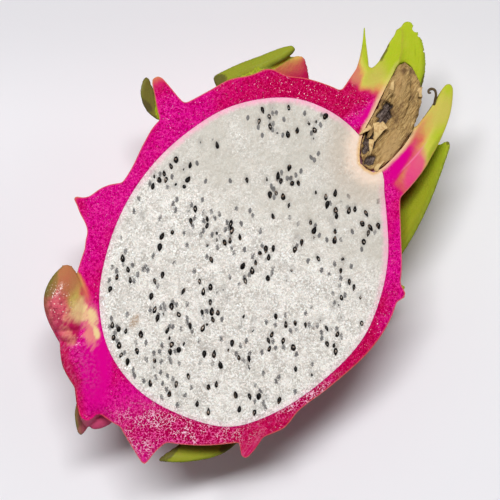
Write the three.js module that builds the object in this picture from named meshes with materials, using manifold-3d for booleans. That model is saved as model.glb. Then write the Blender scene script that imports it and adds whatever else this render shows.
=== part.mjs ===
// Half a dragon fruit, cut lengthwise and lying on its round back with the cut face up.
//
// Three pieces: the rind with the scales and crown bracts that grow from it, the white flesh with
// its seeds, and the dry remains of the flower in the hollow of the crown.
//
// Millimetres. +X runs from the stem end to the crown, +Y to the left flank and +Z up, out of the
// cut face. The origin is the centre of the flat spot that the fruit rests on.

import * as THREE from "three";
import { mergeVertices } from "three/addons/utils/BufferGeometryUtils.js";
import Module from "manifold-3d";

const wasm = await Module();
wasm.setup();

// ---------------------------------------------------------------- driving dimensions

const CUT_HEIGHT = 43; // the cut face, above the surface that the fruit rests on
const PRESSED_FLAT = 0.8; // how much of the round back the flat spot takes off
const RIND_DEPTH = CUT_HEIGHT + PRESSED_FLAT; // the round back, before it is pressed flat
const RIND_AT_BACK = 5.2; // thickness of the rind at the bottom
const FIT_GAP = 0.3; // between two pieces that touch
const FLOOR_CLEARANCE = 0.9; // scales under the fruit bend along the surface, this far above it
const LEAF_EDGE = 1.3; // thickness that a scale keeps right up to its tip

// The oval of the rind where the knife went through, without its scales.
const RIND_OUTLINE = [
  [58.6, 6],
  [55.6, 17.4],
  [52.6, 23],
  [51.4, 28.4],
  [46.6, 31.6],
  [41.6, 36.2],
  [36, 38.8],
  [30, 41.6],
  [24, 44.6],
  [17, 46.2],
  [9.6, 45.4],
  [2, 44],
  [-12, 43.2],
  [-25, 41],
  [-37, 36.8],
  [-47.6, 33],
  [-53.2, 29.6],
  [-57.6, 25],
  [-61.4, 14],
  [-62, 3.4],
  [-59.2, -8.6],
  [-52.5, -21],
  [-45.8, -29],
  [-41.4, -33.4],
  [-37.4, -36.2],
  [-33, -38.6],
  [-27, -38.9],
  [-16, -42.2],
  [0, -45.6],
  [12, -45],
  [23, -40.6],
  [34.4, -32.4],
  [39.6, -28.4],
  [43.6, -25.6],
  [47.6, -22.4],
  [54, -16],
  [57.5, -5],
];

// The oval of the flesh inside it, with the pale core that reaches up to the crown.
const FLESH_OUTLINE = [
  [51.6, 3],
  [49.2, 15],
  [43.5, 23.6],
  [34, 31.6],
  [22, 36.6],
  [8, 39.4],
  [-7, 39],
  [-22, 35],
  [-35, 28.3],
  [-45.2, 17.4],
  [-49.7, 3.5],
  [-48.3, -11.5],
  [-42.6, -25.2],
  [-31, -33.8],
  [-15, -39.6],
  [1.5, -41.8],
  [15, -38.8],
  [26, -33.6],
  [36, -25.9],
  [41, -21.5],
  [45.2, -18],
  [49.6, -9],
];

// The neck that carries the crown: x, y of its middle, half width, half depth.
const NECK = [
  [34, -6, 19, 24],
  [48, -7, 20, 21.5],
  [56, -9.4, 17.6, 17.4],
  [62.4, -11, 14.6, 13],
];

// The hollow of the crown, where the flower stood: the same four figures.
const FLOWER_HOLLOW = [
  [43.6, -13, 2.2, 3],
  [46.5, -12.6, 4.1, 5],
  [52, -11.8, 5.9, 7],
  [58, -11.5, 6.5, 8.2],
  [65.6, -10, 6.4, 8],
  [71.7, -8.2, 5.5, 6.6],
  [75, -6.2, 3.9, 5],
  [77.5, -4.6, 1.6, 2.6],
];

// The dry flower in that hollow: the same four figures, a gap smaller, and closed at both ends.
const FLOWER_REMAINS = [
  [44.2, -13, 1, 1.8],
  [47, -12.5, 3.5, 4.2],
  [52, -11.9, 5.3, 6],
  [58, -11.6, 6, 7.2],
  [65.6, -10, 5.9, 7],
  [71.7, -8.2, 5, 5.6],
  [75, -6.2, 3.4, 4],
  [77, -4.8, 1, 1.6],
];

// Withered petals that lie along it and stand a little out of the cut face.
const DRY_PETALS = [
  {
    spine: [[50, -14.6, -2], [57, -15.6, 0.2], [64, -14.8, 1.2], [71.6, -11.6, 1.6]],
    width: 4.6, thick: 1.8, face: [0, 0.3, 0.95], hold: 2.4, cup: 0.1,
  },
  {
    spine: [[49, -10.4, -2], [55, -8.4, -0.4], [61.4, -6.8, 0.8], [67.6, -5.2, 1.6]],
    width: 4, thick: 1.8, face: [0, -0.4, 0.9], hold: 2.4, cup: 0.12,
  },
  {
    spine: [[56, -12, -2.4], [63, -11, -0.6], [70, -8.6, 1], [76, -5, 1.8]],
    width: 4.8, thick: 1.8, face: [0, 0.1, 1], hold: 2.2, cup: 0.1,
  },
];

// ---------------------------------------------------------------- scales and bracts
//
// Each is a leaf-like blade: a spine of x, y and height above the cut face, its width and thickness
// at the root, and the way that its inner face looks. `hold` keeps the width further towards the
// tip, `taper` thins the blade faster, `waist` narrows its root, `tip` and `edge` are the least
// thickness and width, and `cup` rolls its margins towards the inner face.

// Scales that the knife went through: their sections make the fins of the outline.
const CUT_SCALES = [
  {
    spine: [[21.6, 39, 0], [24.2, 45.6, 0], [26.5, 49.8, 0], [29.1, 54.8, 0]],
    width: 24, thick: 10.5, face: [0.9, -0.42, 0], taper: 0.9, tip: 2.8,
  },
  {
    spine: [[-13, 37, 0], [-13.4, 44, 0], [-14.6, 48.6, 0], [-14.7, 52.8, 0]],
    width: 22, thick: 36, face: [1, 0.05, 0], taper: 1.75,
  },
  {
    spine: [[-51, 17.2, 0], [-58.2, 13.6, -0.6], [-63.2, 11.2, -2.2], [-67.8, 9.2, -4.2]],
    width: 19, thick: 15.4, face: [-0.45, -0.89, 0],
  },
  {
    spine: [[-53, -4, 0], [-58.6, -6.6, 0], [-62.6, -8.8, 0], [-66.4, -11.3, 0]],
    width: 22, thick: 24, face: [0.45, -0.89, 0], taper: 1.2,
  },
  {
    spine: [[-34, -28, 0], [-40.4, -31.4, 0], [-44.6, -33, 0], [-47.6, -34, 0]],
    width: 16, thick: 11, face: [0.3, 0.95, 0], taper: 1.1, tip: 1.8,
  },
  {
    spine: [[17.6, -38, 0], [18.4, -41.4, 0], [19, -43.2, 0], [19.5, -44.7, 0]],
    width: 12, thick: 11, face: [-1, -0.15, 0], taper: 1.05,
  },
];

// Bracts of the crown: the spike's root, the broad upright one and its cut margin, the thick one on
// the right flank, two that hang lower, and the needle that the spike ends in.
const CROWN_BRACTS = [
  {
    spine: [[55, 2, 0], [64, 4.2, 0], [69, 6.2, 0], [74, 9.6, 0]],
    width: 17, thick: 10, face: [-0.2, -0.97, 0], taper: 1.5,
  },
  {
    spine: [[60, -6, -8], [70, -4.9, -4.6], [79, -1.9, -2], [88.2, 3.4, -1.2]],
    width: 16.4, thick: 5.2, face: [-0.1, -0.26, 0.96], hold: 3.6, cup: 0.1,
  },
  {
    spine: [[61, -1.2, 0], [69, -0.8, 0], [76, 0.6, 0], [84.4, 3.8, 0]],
    width: 12, thick: 13, face: [0.2, -0.97, 0], taper: 1.1,
  },
  {
    spine: [[46.5, -20.6, 0], [58, -22, 0], [70, -21, 0], [79.6, -18.3, 0]],
    width: 26, thick: 11.8, face: [0.1, 0.99, 0], hold: 2.6, taper: 0.62,
  },
  {
    spine: [[52, -6, -17], [60, -5.4, -17], [67, -4, -14.6], [73, -2, -10.6]],
    width: 15, thick: 5, face: [0.2, 0.05, 0.98], cup: 0.14,
  },
  {
    spine: [[50, -22, -14], [58, -24.4, -16], [64, -24.4, -15], [69, -23.2, -12]],
    width: 11, thick: 4.6, face: [0.1, 0.4, 0.9], cup: 0.12,
  },
  {
    spine: [[66, 4.6, -0.8], [70.6, 7.2, -0.6], [74.6, 9.9, -0.5], [78.4, 12.6, -0.4]],
    width: 5, thick: 4.6, face: [-0.2, -0.97, 0], taper: 1.6, tip: 0.4, edge: 0.7,
  },
];

// Scales that spring from the flanks under the knife's path and show past the rim.
const FLANK_SCALES = [
  {
    spine: [[22, -29, -21], [38, -29.4, -17], [53, -29, -11.4], [66, -28.4, -3.8]],
    width: 25, thick: 5.2, face: [-0.1, 0.7, 0.7], hold: 2, cup: 0.08,
  },
  {
    spine: [[37, 23, -20], [46.6, 24.2, -13], [54, 23.4, -8.6], [61.4, 23, -6]],
    width: 30, thick: 6, face: [0.3, -0.45, 0.84], hold: 1.8, cup: 0.1,
  },
  {
    spine: [[38.8, 39.8, -7], [46, 35.6, -4.8], [52.9, 30.9, -3.2], [61.6, 26, -2.2]],
    width: 5, thick: 4.2, face: [0, 0.5, 0.85], hold: 9, taper: 0.2,
  },
  {
    spine: [[21.8, 47, -6.4], [21.8, 50.8, -4.8], [23.8, 54.2, -3.6], [27.8, 57.4, -2.4]],
    width: 5.6, thick: 2.4, face: [0.3, -0.3, 0.9], hold: 5, cup: 0.12,
  },
  {
    spine: [[-50, 19, -10], [-58.4, 15.4, -10.4], [-65.6, 12.8, -8.6], [-71, 9.4, -6.4]],
    width: 10.4, thick: 4.4, face: [-0.3, -0.75, 0.6], hold: 3.4, cup: 0.08,
  },
  {
    spine: [[-38, -25, -20], [-47.6, -24, -14], [-56, -19.2, -10.4], [-63.4, -13.6, -8]],
    width: 12.8, thick: 4.8, face: [-0.2, 0.3, 0.93], hold: 1.6, cup: 0.08,
  },
  {
    spine: [[-50, 10, -12], [-57, 9.6, -9.4], [-62.6, 8.4, -7], [-67.4, 8, -5.4]],
    width: 11.5, thick: 7, face: [-0.3, -0.35, 0.88], hold: 3.2, taper: 0.5,
  },
];

// The plump scale beside the knife's path, which stands above the cut face whole.
const WHOLE_SCALE = {
  spine: [[-53.5, 21, -8], [-47.6, 30, -2.6], [-40.4, 36.8, 0], [-32.2, 42.2, 0.3]],
  width: 15.4, thick: 9.6, face: [0.3, -0.12, 0.95], hold: 4.2, taper: 0.55,
  edge: 3, waist: 0.55, cup: -0.02,
};

// The rest of the scales, on the hidden back, follow the spiral of a growing shoot.
const SPIRAL = {
  count: 25, // turns that the spiral makes over the whole fruit, kept only where its back is bare
  first: 4,
  golden: 137.508, // degrees from one scale to the next
  start: 28,
  stemX: -50,
  crownX: 42,
  length: 24,
  width: 25,
  thick: 5.4,
  lift: 9.5, // how far the tip stands off the back
  lowest: 26, // degrees that a scale keeps below the cut face, on either flank
};

// ---------------------------------------------------------------- seeds

const SEEDS = { count: 195, length: 2.5, width: 1.5, proud: 0.55, apart: 1.75, rim: 2, seed: 11 };
const SEED_LIE = { turn: 36, spread: 24 }; // degrees from +X, as the fibres of the flesh run
const SEEDLESS_CORE = { x: 50, y: -9, radius: 15 }; // the pale core under the crown holds none

// Most seeds hang together in loose clumps, which spread this far round these middles.
const CLUMP_SPREAD = 3;
const CLUMPED = 0.7; // the share of the seeds that belong to a clump
const SEED_CLUMPS = [
  [39, 19],
  [46.5, 6],
  [6, 34],
  [25, 3.5],
  [29.5, -13],
  [2.5, 9.5],
  [1.5, -5],
  [-14, 2],
  [-26, 11],
  [-23, 0],
  [-37, 3],
  [11, -27],
  [17, -11.5],
  [-23, 28],
  [-41, 17],
  [-25, -14.5],
  [-10, -22],
  [-44, -4.5],
  [-31, -28],
  [-3.5, -35],
  [29, -26],
  [1, 19],
];

// ---------------------------------------------------------------- geometry helpers

const AROUND_BODY = 60;
const DOWN_BODY = 12;
const AROUND_BLADE = 10;
const ALONG_BLADE = 9;
const AROUND_TUBE = 22;
const ALONG_TUBE = 8;

const radians = THREE.MathUtils.degToRad;

// A repeatable stream of numbers from 0 to 1.
function randomFrom(seed) {
  let state = seed >>> 0;
  return () => {
    state = (state + 0x6d2b79f5) >>> 0;
    let t = state;
    t = Math.imul(t ^ (t >>> 15), t | 1);
    t ^= t + Math.imul(t ^ (t >>> 7), t | 61);
    return ((t ^ (t >>> 14)) >>> 0) / 4294967296;
  };
}

// A closed geometry from rings of points, each ring closed by a single point at its end.
function loft(rings, firstPole, lastPole) {
  const around = rings[0].length;
  const points = [firstPole, ...rings.flat(), lastPole];
  const index = [];
  const at = (ring, k) => 1 + ring * around + (k % around);
  for (let k = 0; k < around; k++) {
    index.push(0, at(0, k + 1), at(0, k));
    index.push(points.length - 1, at(rings.length - 1, k), at(rings.length - 1, k + 1));
  }
  for (let ring = 0; ring + 1 < rings.length; ring++)
    for (let k = 0; k < around; k++) {
      index.push(at(ring, k), at(ring, k + 1), at(ring + 1, k + 1));
      index.push(at(ring, k), at(ring + 1, k + 1), at(ring + 1, k));
    }
  const geometry = new THREE.BufferGeometry().setFromPoints(points);
  geometry.setIndex(index);
  return geometry;
}

// A closed geometry as a solid that can be joined and cut.
function solid(geometry) {
  const bare = geometry.clone();
  bare.deleteAttribute("normal");
  bare.deleteAttribute("uv");
  const merged = mergeVertices(bare, 1e-4);
  const made = new wasm.Manifold(
    new wasm.Mesh({
      numProp: 3,
      vertProperties: new Float32Array(merged.attributes.position.array),
      triVerts: new Uint32Array(merged.index.array),
    }),
  );
  if (made.volume() > 0) return made;
  const flipped = merged.index.array.slice();
  for (let i = 0; i < flipped.length; i += 3)
    [flipped[i + 1], flipped[i + 2]] = [flipped[i + 2], flipped[i + 1]];
  return new wasm.Manifold(
    new wasm.Mesh({
      numProp: 3,
      vertProperties: new Float32Array(merged.attributes.position.array),
      triVerts: new Uint32Array(flipped),
    }),
  );
}

function geometryOf(made) {
  const mesh = made.getMesh();
  const geometry = new THREE.BufferGeometry();
  geometry.setAttribute("position", new THREE.BufferAttribute(mesh.vertProperties, 3));
  geometry.setIndex(new THREE.BufferAttribute(mesh.triVerts, 1));
  geometry.computeVertexNormals();
  return geometry;
}

// Everything above or below a height, as a solid to cut with.
function slab(height, side) {
  const size = 400;
  const box = new THREE.BoxGeometry(size, size, size);
  box.translate(0, 0, height + (side * size) / 2);
  return solid(box);
}

function outlineCurve(points) {
  const corners = points.map(([x, y]) => new THREE.Vector3(x, y, 0));
  return new THREE.CatmullRomCurve3(corners, true, "centripetal");
}

// The half body under an outline: every ring is the outline drawn in towards the origin, and the
// first ones stand above the cut face, so that the knife has something to cut.
function bowl(outline, depth, grown = 0) {
  const above = radians(-9);
  const curve = outlineCurve(outline);
  const rim = Array.from({ length: AROUND_BODY }, (_, k) => curve.getPoint(k / AROUND_BODY));
  const rings = [];
  for (let j = 0; j < DOWN_BODY; j++) {
    const down = above + ((Math.PI / 2 - above) * j) / DOWN_BODY;
    rings.push(
      rim.map((p) => {
        const reach = p.length() + grown;
        const out = p.clone().setLength(reach * Math.cos(down));
        out.z = CUT_HEIGHT - (depth + grown) * Math.sin(down);
        return out;
      }),
    );
  }
  const top = new THREE.Vector3(0, 0, rings[0][0].z);
  const bottom = new THREE.Vector3(0, 0, CUT_HEIGHT - depth - grown);
  return solid(loft(rings, top, bottom));
}

// A tube of oval sections along X, from rows of x, y, half width and half depth.
function tube(rows, grown = 0, ribs = 0) {
  const middle = new THREE.CatmullRomCurve3(rows.map(([x, y]) => new THREE.Vector3(x, y, CUT_HEIGHT)));
  const sizes = new THREE.CatmullRomCurve3(rows.map((r) => new THREE.Vector3(r[2], r[3], 0)));
  const rings = [];
  const steps = ALONG_TUBE + rows.length;
  for (let j = 0; j <= steps; j++) {
    const centre = middle.getPoint(j / steps);
    const size = sizes.getPoint(j / steps);
    const ring = [];
    for (let k = 0; k < AROUND_TUBE; k++) {
      const a = (2 * Math.PI * k) / AROUND_TUBE;
      const rib = 1 - ribs * (k % 2);
      ring.push(
        new THREE.Vector3(
          centre.x,
          centre.y + (size.x + grown) * rib * Math.cos(a),
          centre.z + (size.y + grown) * rib * Math.sin(a),
        ),
      );
    }
    rings.push(ring);
  }
  return solid(loft(rings, middle.getPoint(0), middle.getPoint(1)));
}

// A leaf-like blade along its spine. Its section is a flat oval, thick at the root.
function blade(leaf) {
  const { spine, width, thick, face, hold = 1.25, taper = 1, cup = 0, waist = 0 } = leaf;
  const { tip = LEAF_EDGE, edge = LEAF_EDGE } = leaf;
  const points = spine.map(([x, y, z]) => new THREE.Vector3(x, y, CUT_HEIGHT + z));
  const curve = new THREE.CatmullRomCurve3(points, false, "centripetal");
  const inner = new THREE.Vector3(...face).normalize();
  const rings = [];
  for (let j = 0; j < ALONG_BLADE; j++) {
    const u = (0.985 * j) / (ALONG_BLADE - 1);
    const centre = curve.getPoint(u);
    const along = curve.getTangent(u);
    const across = new THREE.Vector3().crossVectors(along, inner).normalize();
    const out = new THREE.Vector3().crossVectors(across, along).normalize();
    const narrowed = 1 - waist * (1 - THREE.MathUtils.smoothstep(u, 0.12, 0.72));
    const w = Math.max(width * Math.pow(1 - Math.pow(u, hold), 0.85) * narrowed, edge);
    const t = tip + (thick - tip) * Math.pow(1 - u, taper);
    const ring = [];
    for (let k = 0; k < AROUND_BLADE; k++) {
      const a = (2 * Math.PI * k) / AROUND_BLADE;
      const side = Math.cos(a);
      const lift = (Math.sign(Math.sin(a)) * Math.pow(Math.abs(Math.sin(a)), 0.8) * t) / 2;
      const rolled = cup * w * side * side;
      const p = centre.clone().addScaledVector(across, (side * w) / 2);
      p.addScaledVector(out, lift + rolled);
      p.z = Math.max(p.z, FLOOR_CLEARANCE + 0.25 * lift);
      ring.push(p);
    }
    rings.push(ring);
  }
  return solid(loft(rings, points[0], curve.getPoint(1)));
}

// ---------------------------------------------------------------- the spiral of scales on the back

// A point of the round back: x along the fruit, and degrees round it, from the left flank (0)
// under the fruit to the right flank (180). `off` is its distance from the surface.
function onBack(x, round, off) {
  const curve = outlineCurve(RIND_OUTLINE);
  const a = radians(round);
  // The rim's half width at this x, on the flank that the point is nearer to.
  const rim = curve.getPoints(200).filter((p) => Math.sign(p.y) === (round < 90 ? 1 : -1));
  const nearest = rim.reduce((m, p) => (Math.abs(p.x - x) < Math.abs(m.x - x) ? p : m));
  const half = Math.abs(nearest.y);
  const reach = Math.sqrt(Math.max(0, 1 - (x / 61) ** 2));
  return [x, (half + off) * Math.cos(a), -(RIND_DEPTH * reach + off) * Math.sin(a)];
}

function spiralScales() {
  const kept = [];
  const random = randomFrom(SPIRAL.count);
  for (let n = SPIRAL.first; n < SPIRAL.count; n++) {
    const round = (SPIRAL.start + n * SPIRAL.golden) % 360;
    const share = n / (SPIRAL.count - 1);
    const size = 0.85 + 0.3 * random();
    if (round < SPIRAL.lowest || round > 180 - SPIRAL.lowest) continue;
    const x = THREE.MathUtils.lerp(SPIRAL.stemX, SPIRAL.crownX, share);
    const length = SPIRAL.length * size;
    const steps = [0, 0.36, 0.7, 1];
    const lifts = [-2.4, 0.4, SPIRAL.lift * 0.45, SPIRAL.lift].map((l) => l * size);
    const spine = steps.map((s, i) => onBack(x + s * length * 0.94, round, lifts[i]));
    const a = radians(round);
    kept.push({
      spine,
      width: SPIRAL.width * size,
      thick: SPIRAL.thick,
      face: [0.35, -Math.cos(a), Math.sin(a)],
      hold: 1.35,
      cup: 0.12,
    });
  }
  return kept;
}

// ---------------------------------------------------------------- the three pieces

function makeRind() {
  let whole = bowl(RIND_OUTLINE, RIND_DEPTH).add(tube(NECK));
  const leaves = [...CUT_SCALES, ...CROWN_BRACTS, ...FLANK_SCALES, ...spiralScales()];
  for (const leaf of leaves) whole = whole.add(blade(leaf));
  return whole
    .subtract(slab(CUT_HEIGHT, 1))
    .add(blade(WHOLE_SCALE))
    .subtract(bowl(FLESH_OUTLINE, RIND_DEPTH - RIND_AT_BACK, FIT_GAP))
    .subtract(tube(FLOWER_HOLLOW))
    .subtract(slab(0, -1));
}

// Seeds scattered over the cut flesh, none nearer to the next than `apart`.
function seedPlaces() {
  const random = randomFrom(SEEDS.seed);
  const rim = outlineCurve(FLESH_OUTLINE).getPoints(160);
  const inside = (x, y) => {
    let crossings = false;
    rim.forEach((p, i) => {
      const q = rim[(i + 1) % rim.length];
      if (p.y > y !== q.y > y && x < ((q.x - p.x) * (y - p.y)) / (q.y - p.y) + p.x) crossings = !crossings;
    });
    return crossings;
  };
  const places = [];
  for (let tries = 0; places.length < SEEDS.count && tries < 40000; tries++) {
    const [cx, cy] = SEED_CLUMPS[Math.floor(SEED_CLUMPS.length * random())];
    const clumped = random() < CLUMPED;
    const bearing = 2 * Math.PI * random();
    const away = CLUMP_SPREAD * Math.sqrt(-2 * Math.log(1 - 0.999 * random()));
    const x = clumped ? cx + away * Math.cos(bearing) : -52 + 106 * random();
    const y = clumped ? cy + away * Math.sin(bearing) : -44 + 86 * random();
    const turn = radians(SEED_LIE.turn + SEED_LIE.spread * (random() + random() - 1));
    if (!inside(x, y)) continue;
    if (rim.some((p) => Math.hypot(p.x - x, p.y - y) < SEEDS.rim)) continue;
    if (Math.hypot(x - SEEDLESS_CORE.x, y - SEEDLESS_CORE.y) < SEEDLESS_CORE.radius) continue;
    if (places.some((p) => Math.hypot(p.x - x, p.y - y) < SEEDS.apart)) continue;
    places.push({ x, y, turn });
  }
  return places;
}

function makeFlesh() {
  let flesh = bowl(FLESH_OUTLINE, RIND_DEPTH - RIND_AT_BACK).subtract(slab(CUT_HEIGHT, 1));
  flesh = flesh.subtract(tube(FLOWER_HOLLOW));
  const grain = new THREE.SphereGeometry(1, 6, 3);
  const seeds = seedPlaces().map(({ x, y, turn }) => {
    const one = grain.clone();
    one.scale(SEEDS.length / 2, SEEDS.width / 2, SEEDS.proud * 2);
    one.rotateZ(turn);
    one.translate(x, y, CUT_HEIGHT - SEEDS.proud);
    return solid(one);
  });
  return flesh.add(wasm.Manifold.union(seeds));
}

function makeFlowerRemains() {
  const sunk = 0.8; // between the petals the dry tissue has shrunk below the cut face
  let remains = tube(FLOWER_REMAINS, 0, 0.07).subtract(slab(CUT_HEIGHT - sunk, 1));
  for (const petal of DRY_PETALS) remains = remains.add(blade(petal));
  // The hollow's walls keep the petals in: whatever would touch them has worn away.
  const inside = tube(FLOWER_HOLLOW, -FIT_GAP).add(slab(CUT_HEIGHT + FIT_GAP, 1));
  return remains.intersect(inside);
}

function piece(name, made, colour, roughness) {
  const material = new THREE.MeshStandardMaterial({ color: colour, roughness, metalness: 0 });
  const mesh = new THREE.Mesh(geometryOf(made), material);
  mesh.name = name;
  return mesh;
}

const dragonFruit = new THREE.Group();
dragonFruit.add(piece("rind", makeRind(), 0xd4107a, 0.45));
dragonFruit.add(piece("flesh", makeFlesh(), 0xe6e2d6, 0.35));
dragonFruit.add(piece("flower_remains", makeFlowerRemains(), 0x7a5c36, 0.85));

export default dragonFruit;
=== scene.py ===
# %% [markdown]
# # Half a dragon fruit
#
# A dragon fruit is the fruit of a climbing cactus. Its peel is a thick magenta rind, and fleshy
# scales grow out of it in a spiral, green towards their tips. At one end the scales close into a
# crown round the hollow where the flower stood. Inside is a white, wet pulp full of small black
# seeds. This one is cut lengthwise and lies on its round back with the cut face up.
#
# The CAD model gives the place and size of three nodes: the rind, the flesh and the dry remains of
# the flower. Their solids are faceted and plain. Here each is replaced by a finer piece of the same
# form, and gets the wet, grained look of a fresh cut.

import math
import time

import bpy
import numpy as np
from mathutils import Matrix, Vector, noise
from mathutils.bvhtree import BVHTree


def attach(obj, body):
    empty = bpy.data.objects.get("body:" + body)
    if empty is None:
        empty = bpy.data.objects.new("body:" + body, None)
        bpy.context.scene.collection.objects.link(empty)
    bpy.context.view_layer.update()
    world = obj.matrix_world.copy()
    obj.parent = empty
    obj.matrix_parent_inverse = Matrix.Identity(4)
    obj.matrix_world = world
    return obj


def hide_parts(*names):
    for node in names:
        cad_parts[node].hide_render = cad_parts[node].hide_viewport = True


started = time.time()
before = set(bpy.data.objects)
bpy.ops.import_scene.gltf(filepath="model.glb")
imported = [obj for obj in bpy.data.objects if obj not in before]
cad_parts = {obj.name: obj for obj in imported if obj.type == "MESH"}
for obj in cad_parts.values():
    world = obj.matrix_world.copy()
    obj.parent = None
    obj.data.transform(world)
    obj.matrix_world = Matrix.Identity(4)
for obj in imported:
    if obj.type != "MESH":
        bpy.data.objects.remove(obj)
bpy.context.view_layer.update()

# %% [markdown]
# ## Working in millimetres
#
# The fruit is 159 mm long and its grain is finer than a millimetre, so the shapes are worked out in
# millimetres and made metres at the very end. Blender's remesh and boolean tools also behave better
# on numbers of that size. A few helpers select, read, mould and finish a piece. Points could be
# moved one at a time in edit mode, but a skin of a hundred thousand points needs them all in one
# array, which numpy moves at once.

# %% Sizes that the CAD model has too
CUT_HEIGHT = 43.0  # the cut face, above the surface that the fruit rests on
RIND_DEPTH = 43.8  # the round back, before it is pressed flat
RIND_AT_BACK = 5.2  # thickness of the rind at the bottom
FLESH_DEPTH = RIND_DEPTH - RIND_AT_BACK
LEAF_EDGE = 1.3  # thickness that a scale keeps right up to its tip
print("the flesh is", round(FLESH_DEPTH, 1), "mm deep under the cut face")


# %% Select a piece, and read or move its points
def pick_only(*pieces):
    """Everything else is deselected first, because an operator acts on all that is selected."""
    if bpy.context.object and bpy.context.object.mode != "OBJECT":
        bpy.ops.object.mode_set(mode="OBJECT")
    bpy.ops.object.select_all(action="DESELECT")
    for piece in pieces:
        piece.select_set(True)
    bpy.context.view_layer.objects.active = pieces[0] if pieces else None


def points_of(piece):
    """The vertices of a piece as rows of x, y, z."""
    flat = np.empty(len(piece.data.vertices) * 3)
    piece.data.vertices.foreach_get("co", flat)
    return flat.reshape(-1, 3)


def move_points(piece, rows):
    piece.data.vertices.foreach_set("co", np.ascontiguousarray(rows, dtype=np.float32).ravel())
    piece.data.update()


def normals_of(piece):
    flat = np.empty(len(piece.data.vertices) * 3)
    piece.data.vertices.foreach_get("normal", flat)
    return flat.reshape(-1, 3)


# %% Change, cut and join pieces
def modify(piece, kind, **settings):
    """Adds a modifier with these settings and applies it."""
    pick_only(piece)
    bpy.ops.object.modifier_add(type=kind)
    modifier = piece.modifiers[-1]
    for name, value in settings.items():
        setattr(modifier, name, value)
    bpy.ops.object.modifier_apply(modifier=modifier.name)


def boolean(piece, other, operation):
    """Cuts the other piece away or joins it, and then removes it."""
    modify(piece, "BOOLEAN", object=other, operation=operation, solver="MANIFOLD")
    bpy.data.objects.remove(other)


def merge_into_one(name, pieces):
    pick_only(*pieces)
    bpy.ops.object.join()
    whole = bpy.context.object
    whole.name = name
    whole.data.name = name
    return whole


def outward(piece):
    """Doubles are merged, and then every face is turned to point out of the closed shape."""
    pick_only(piece)
    bpy.ops.object.mode_set(mode="EDIT")
    bpy.ops.mesh.select_all(action="SELECT")
    bpy.ops.mesh.remove_doubles(threshold=0.0005)
    bpy.ops.mesh.normals_make_consistent(inside=False)
    bpy.ops.object.mode_set(mode="OBJECT")


# %% Numbers that the points carry
def keep_value(piece, name, values):
    """Stores one number per vertex, which a material can read."""
    layer = piece.data.attributes.new(name, "FLOAT", "POINT")
    layer.data.foreach_set("value", np.ascontiguousarray(values, dtype=np.float32))


def smoothstep(low, high, value):
    t = np.clip((value - low) / (high - low), 0.0, 1.0)
    return t * t * (3 - 2 * t)


def distances(rows, tree, limit=60.0):
    """How far each point lies from the surface in the tree, up to a limit."""
    found = np.empty(len(rows))
    for n, row in enumerate(rows):
        found[n] = tree.find_nearest(row)[3]
    return np.minimum(found, limit)


def soft_ovals(rows, ovals, soft=0.45):
    """1 inside the ovals and 0 outside, from rows of x, y, half length, half width and turn."""
    value = np.zeros(len(rows))
    for x, y, length, width, turn in ovals:
        dx, dy, a = rows[:, 0] - x, rows[:, 1] - y, math.radians(turn)
        ahead = dx * math.cos(a) + dy * math.sin(a)
        sideways = dy * math.cos(a) - dx * math.sin(a)
        reach = np.hypot(ahead / length, sideways / width)
        value = np.maximum(value, 1 - smoothstep(1 - soft, 1 + soft, reach))
    return value


# %% [markdown]
# ## Smooth lines through a few points
#
# The oval of the rind, the oval of the flesh and the spine of every scale are lines through a few
# points. A centripetal Catmull-Rom line goes through each point without loops or overshoot, and the
# CAD model uses the same kind, so both models follow the same course.

# %% The two ovals
RIND_OUTLINE = [
    (58.6, 6), (55.6, 17.4), (52.6, 23), (51.4, 28.4), (46.6, 31.6), (41.6, 36.2), (36, 38.8),
    (30, 41.6), (24, 44.6), (17, 46.2), (9.6, 45.4), (2, 44), (-12, 43.2), (-25, 41), (-37, 36.8),
    (-47.6, 33), (-53.2, 29.6), (-57.6, 25), (-61.4, 14), (-62, 3.4), (-59.2, -8.6), (-52.5, -21),
    (-45.8, -29), (-41.4, -33.4), (-37.4, -36.2), (-33, -38.6), (-27, -38.9), (-16, -42.2),
    (0, -45.6), (12, -45), (23, -40.6), (34.4, -32.4), (39.6, -28.4), (43.6, -25.6), (47.6, -22.4),
    (54, -16), (57.5, -5),
]
FLESH_OUTLINE = [
    (51.6, 3), (49.2, 15), (43.5, 23.6), (34, 31.6), (22, 36.6), (8, 39.4), (-7, 39), (-22, 35),
    (-35, 28.3), (-45.2, 17.4), (-49.7, 3.5), (-48.3, -11.5), (-42.6, -25.2), (-31, -33.8),
    (-15, -39.6), (1.5, -41.8), (15, -38.8), (26, -33.6), (36, -25.9), (41, -21.5), (45.2, -18),
    (49.6, -9),
]
print("corners of the rind and of the flesh:", len(RIND_OUTLINE), len(FLESH_OUTLINE))


# %% A smooth line through corners
def smooth_line(corners, count, closed=False):
    """`count` points, evenly spread from corner to corner, on the line through the corners."""
    corners = [np.array(c, dtype=float) for c in corners]
    n = len(corners)
    rows = []
    for share in np.arange(count) / (count if closed else count - 1):
        place = share * (n if closed else n - 1)
        first = min(int(place), n - 1 if closed else n - 2)
        t = place - first
        if closed:
            p0, p1, p2, p3 = (corners[(first + k) % n] for k in (-1, 0, 1, 2))
        else:
            p1, p2 = corners[first], corners[first + 1]
            p0 = corners[first - 1] if first else 2 * p1 - p2
            p3 = corners[first + 2] if first + 2 < n else 2 * p2 - p1
        pairs = ((p0, p1), (p1, p2), (p2, p3))
        d0, d1, d2 = (max(np.linalg.norm(b - a) ** 0.5, 1e-4) for a, b in pairs)
        out = ((p1 - p0) / d0 - (p2 - p0) / (d0 + d1) + (p2 - p1) / d1) * d1
        into = ((p2 - p1) / d1 - (p3 - p1) / (d1 + d2) + (p3 - p2) / d2) * d1
        c2 = 3 * (p2 - p1) - 2 * out - into
        c3 = 2 * (p1 - p2) + out + into
        rows.append(p1 + t * (out + t * (c2 + t * c3)))
    return np.array(rows)


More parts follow.
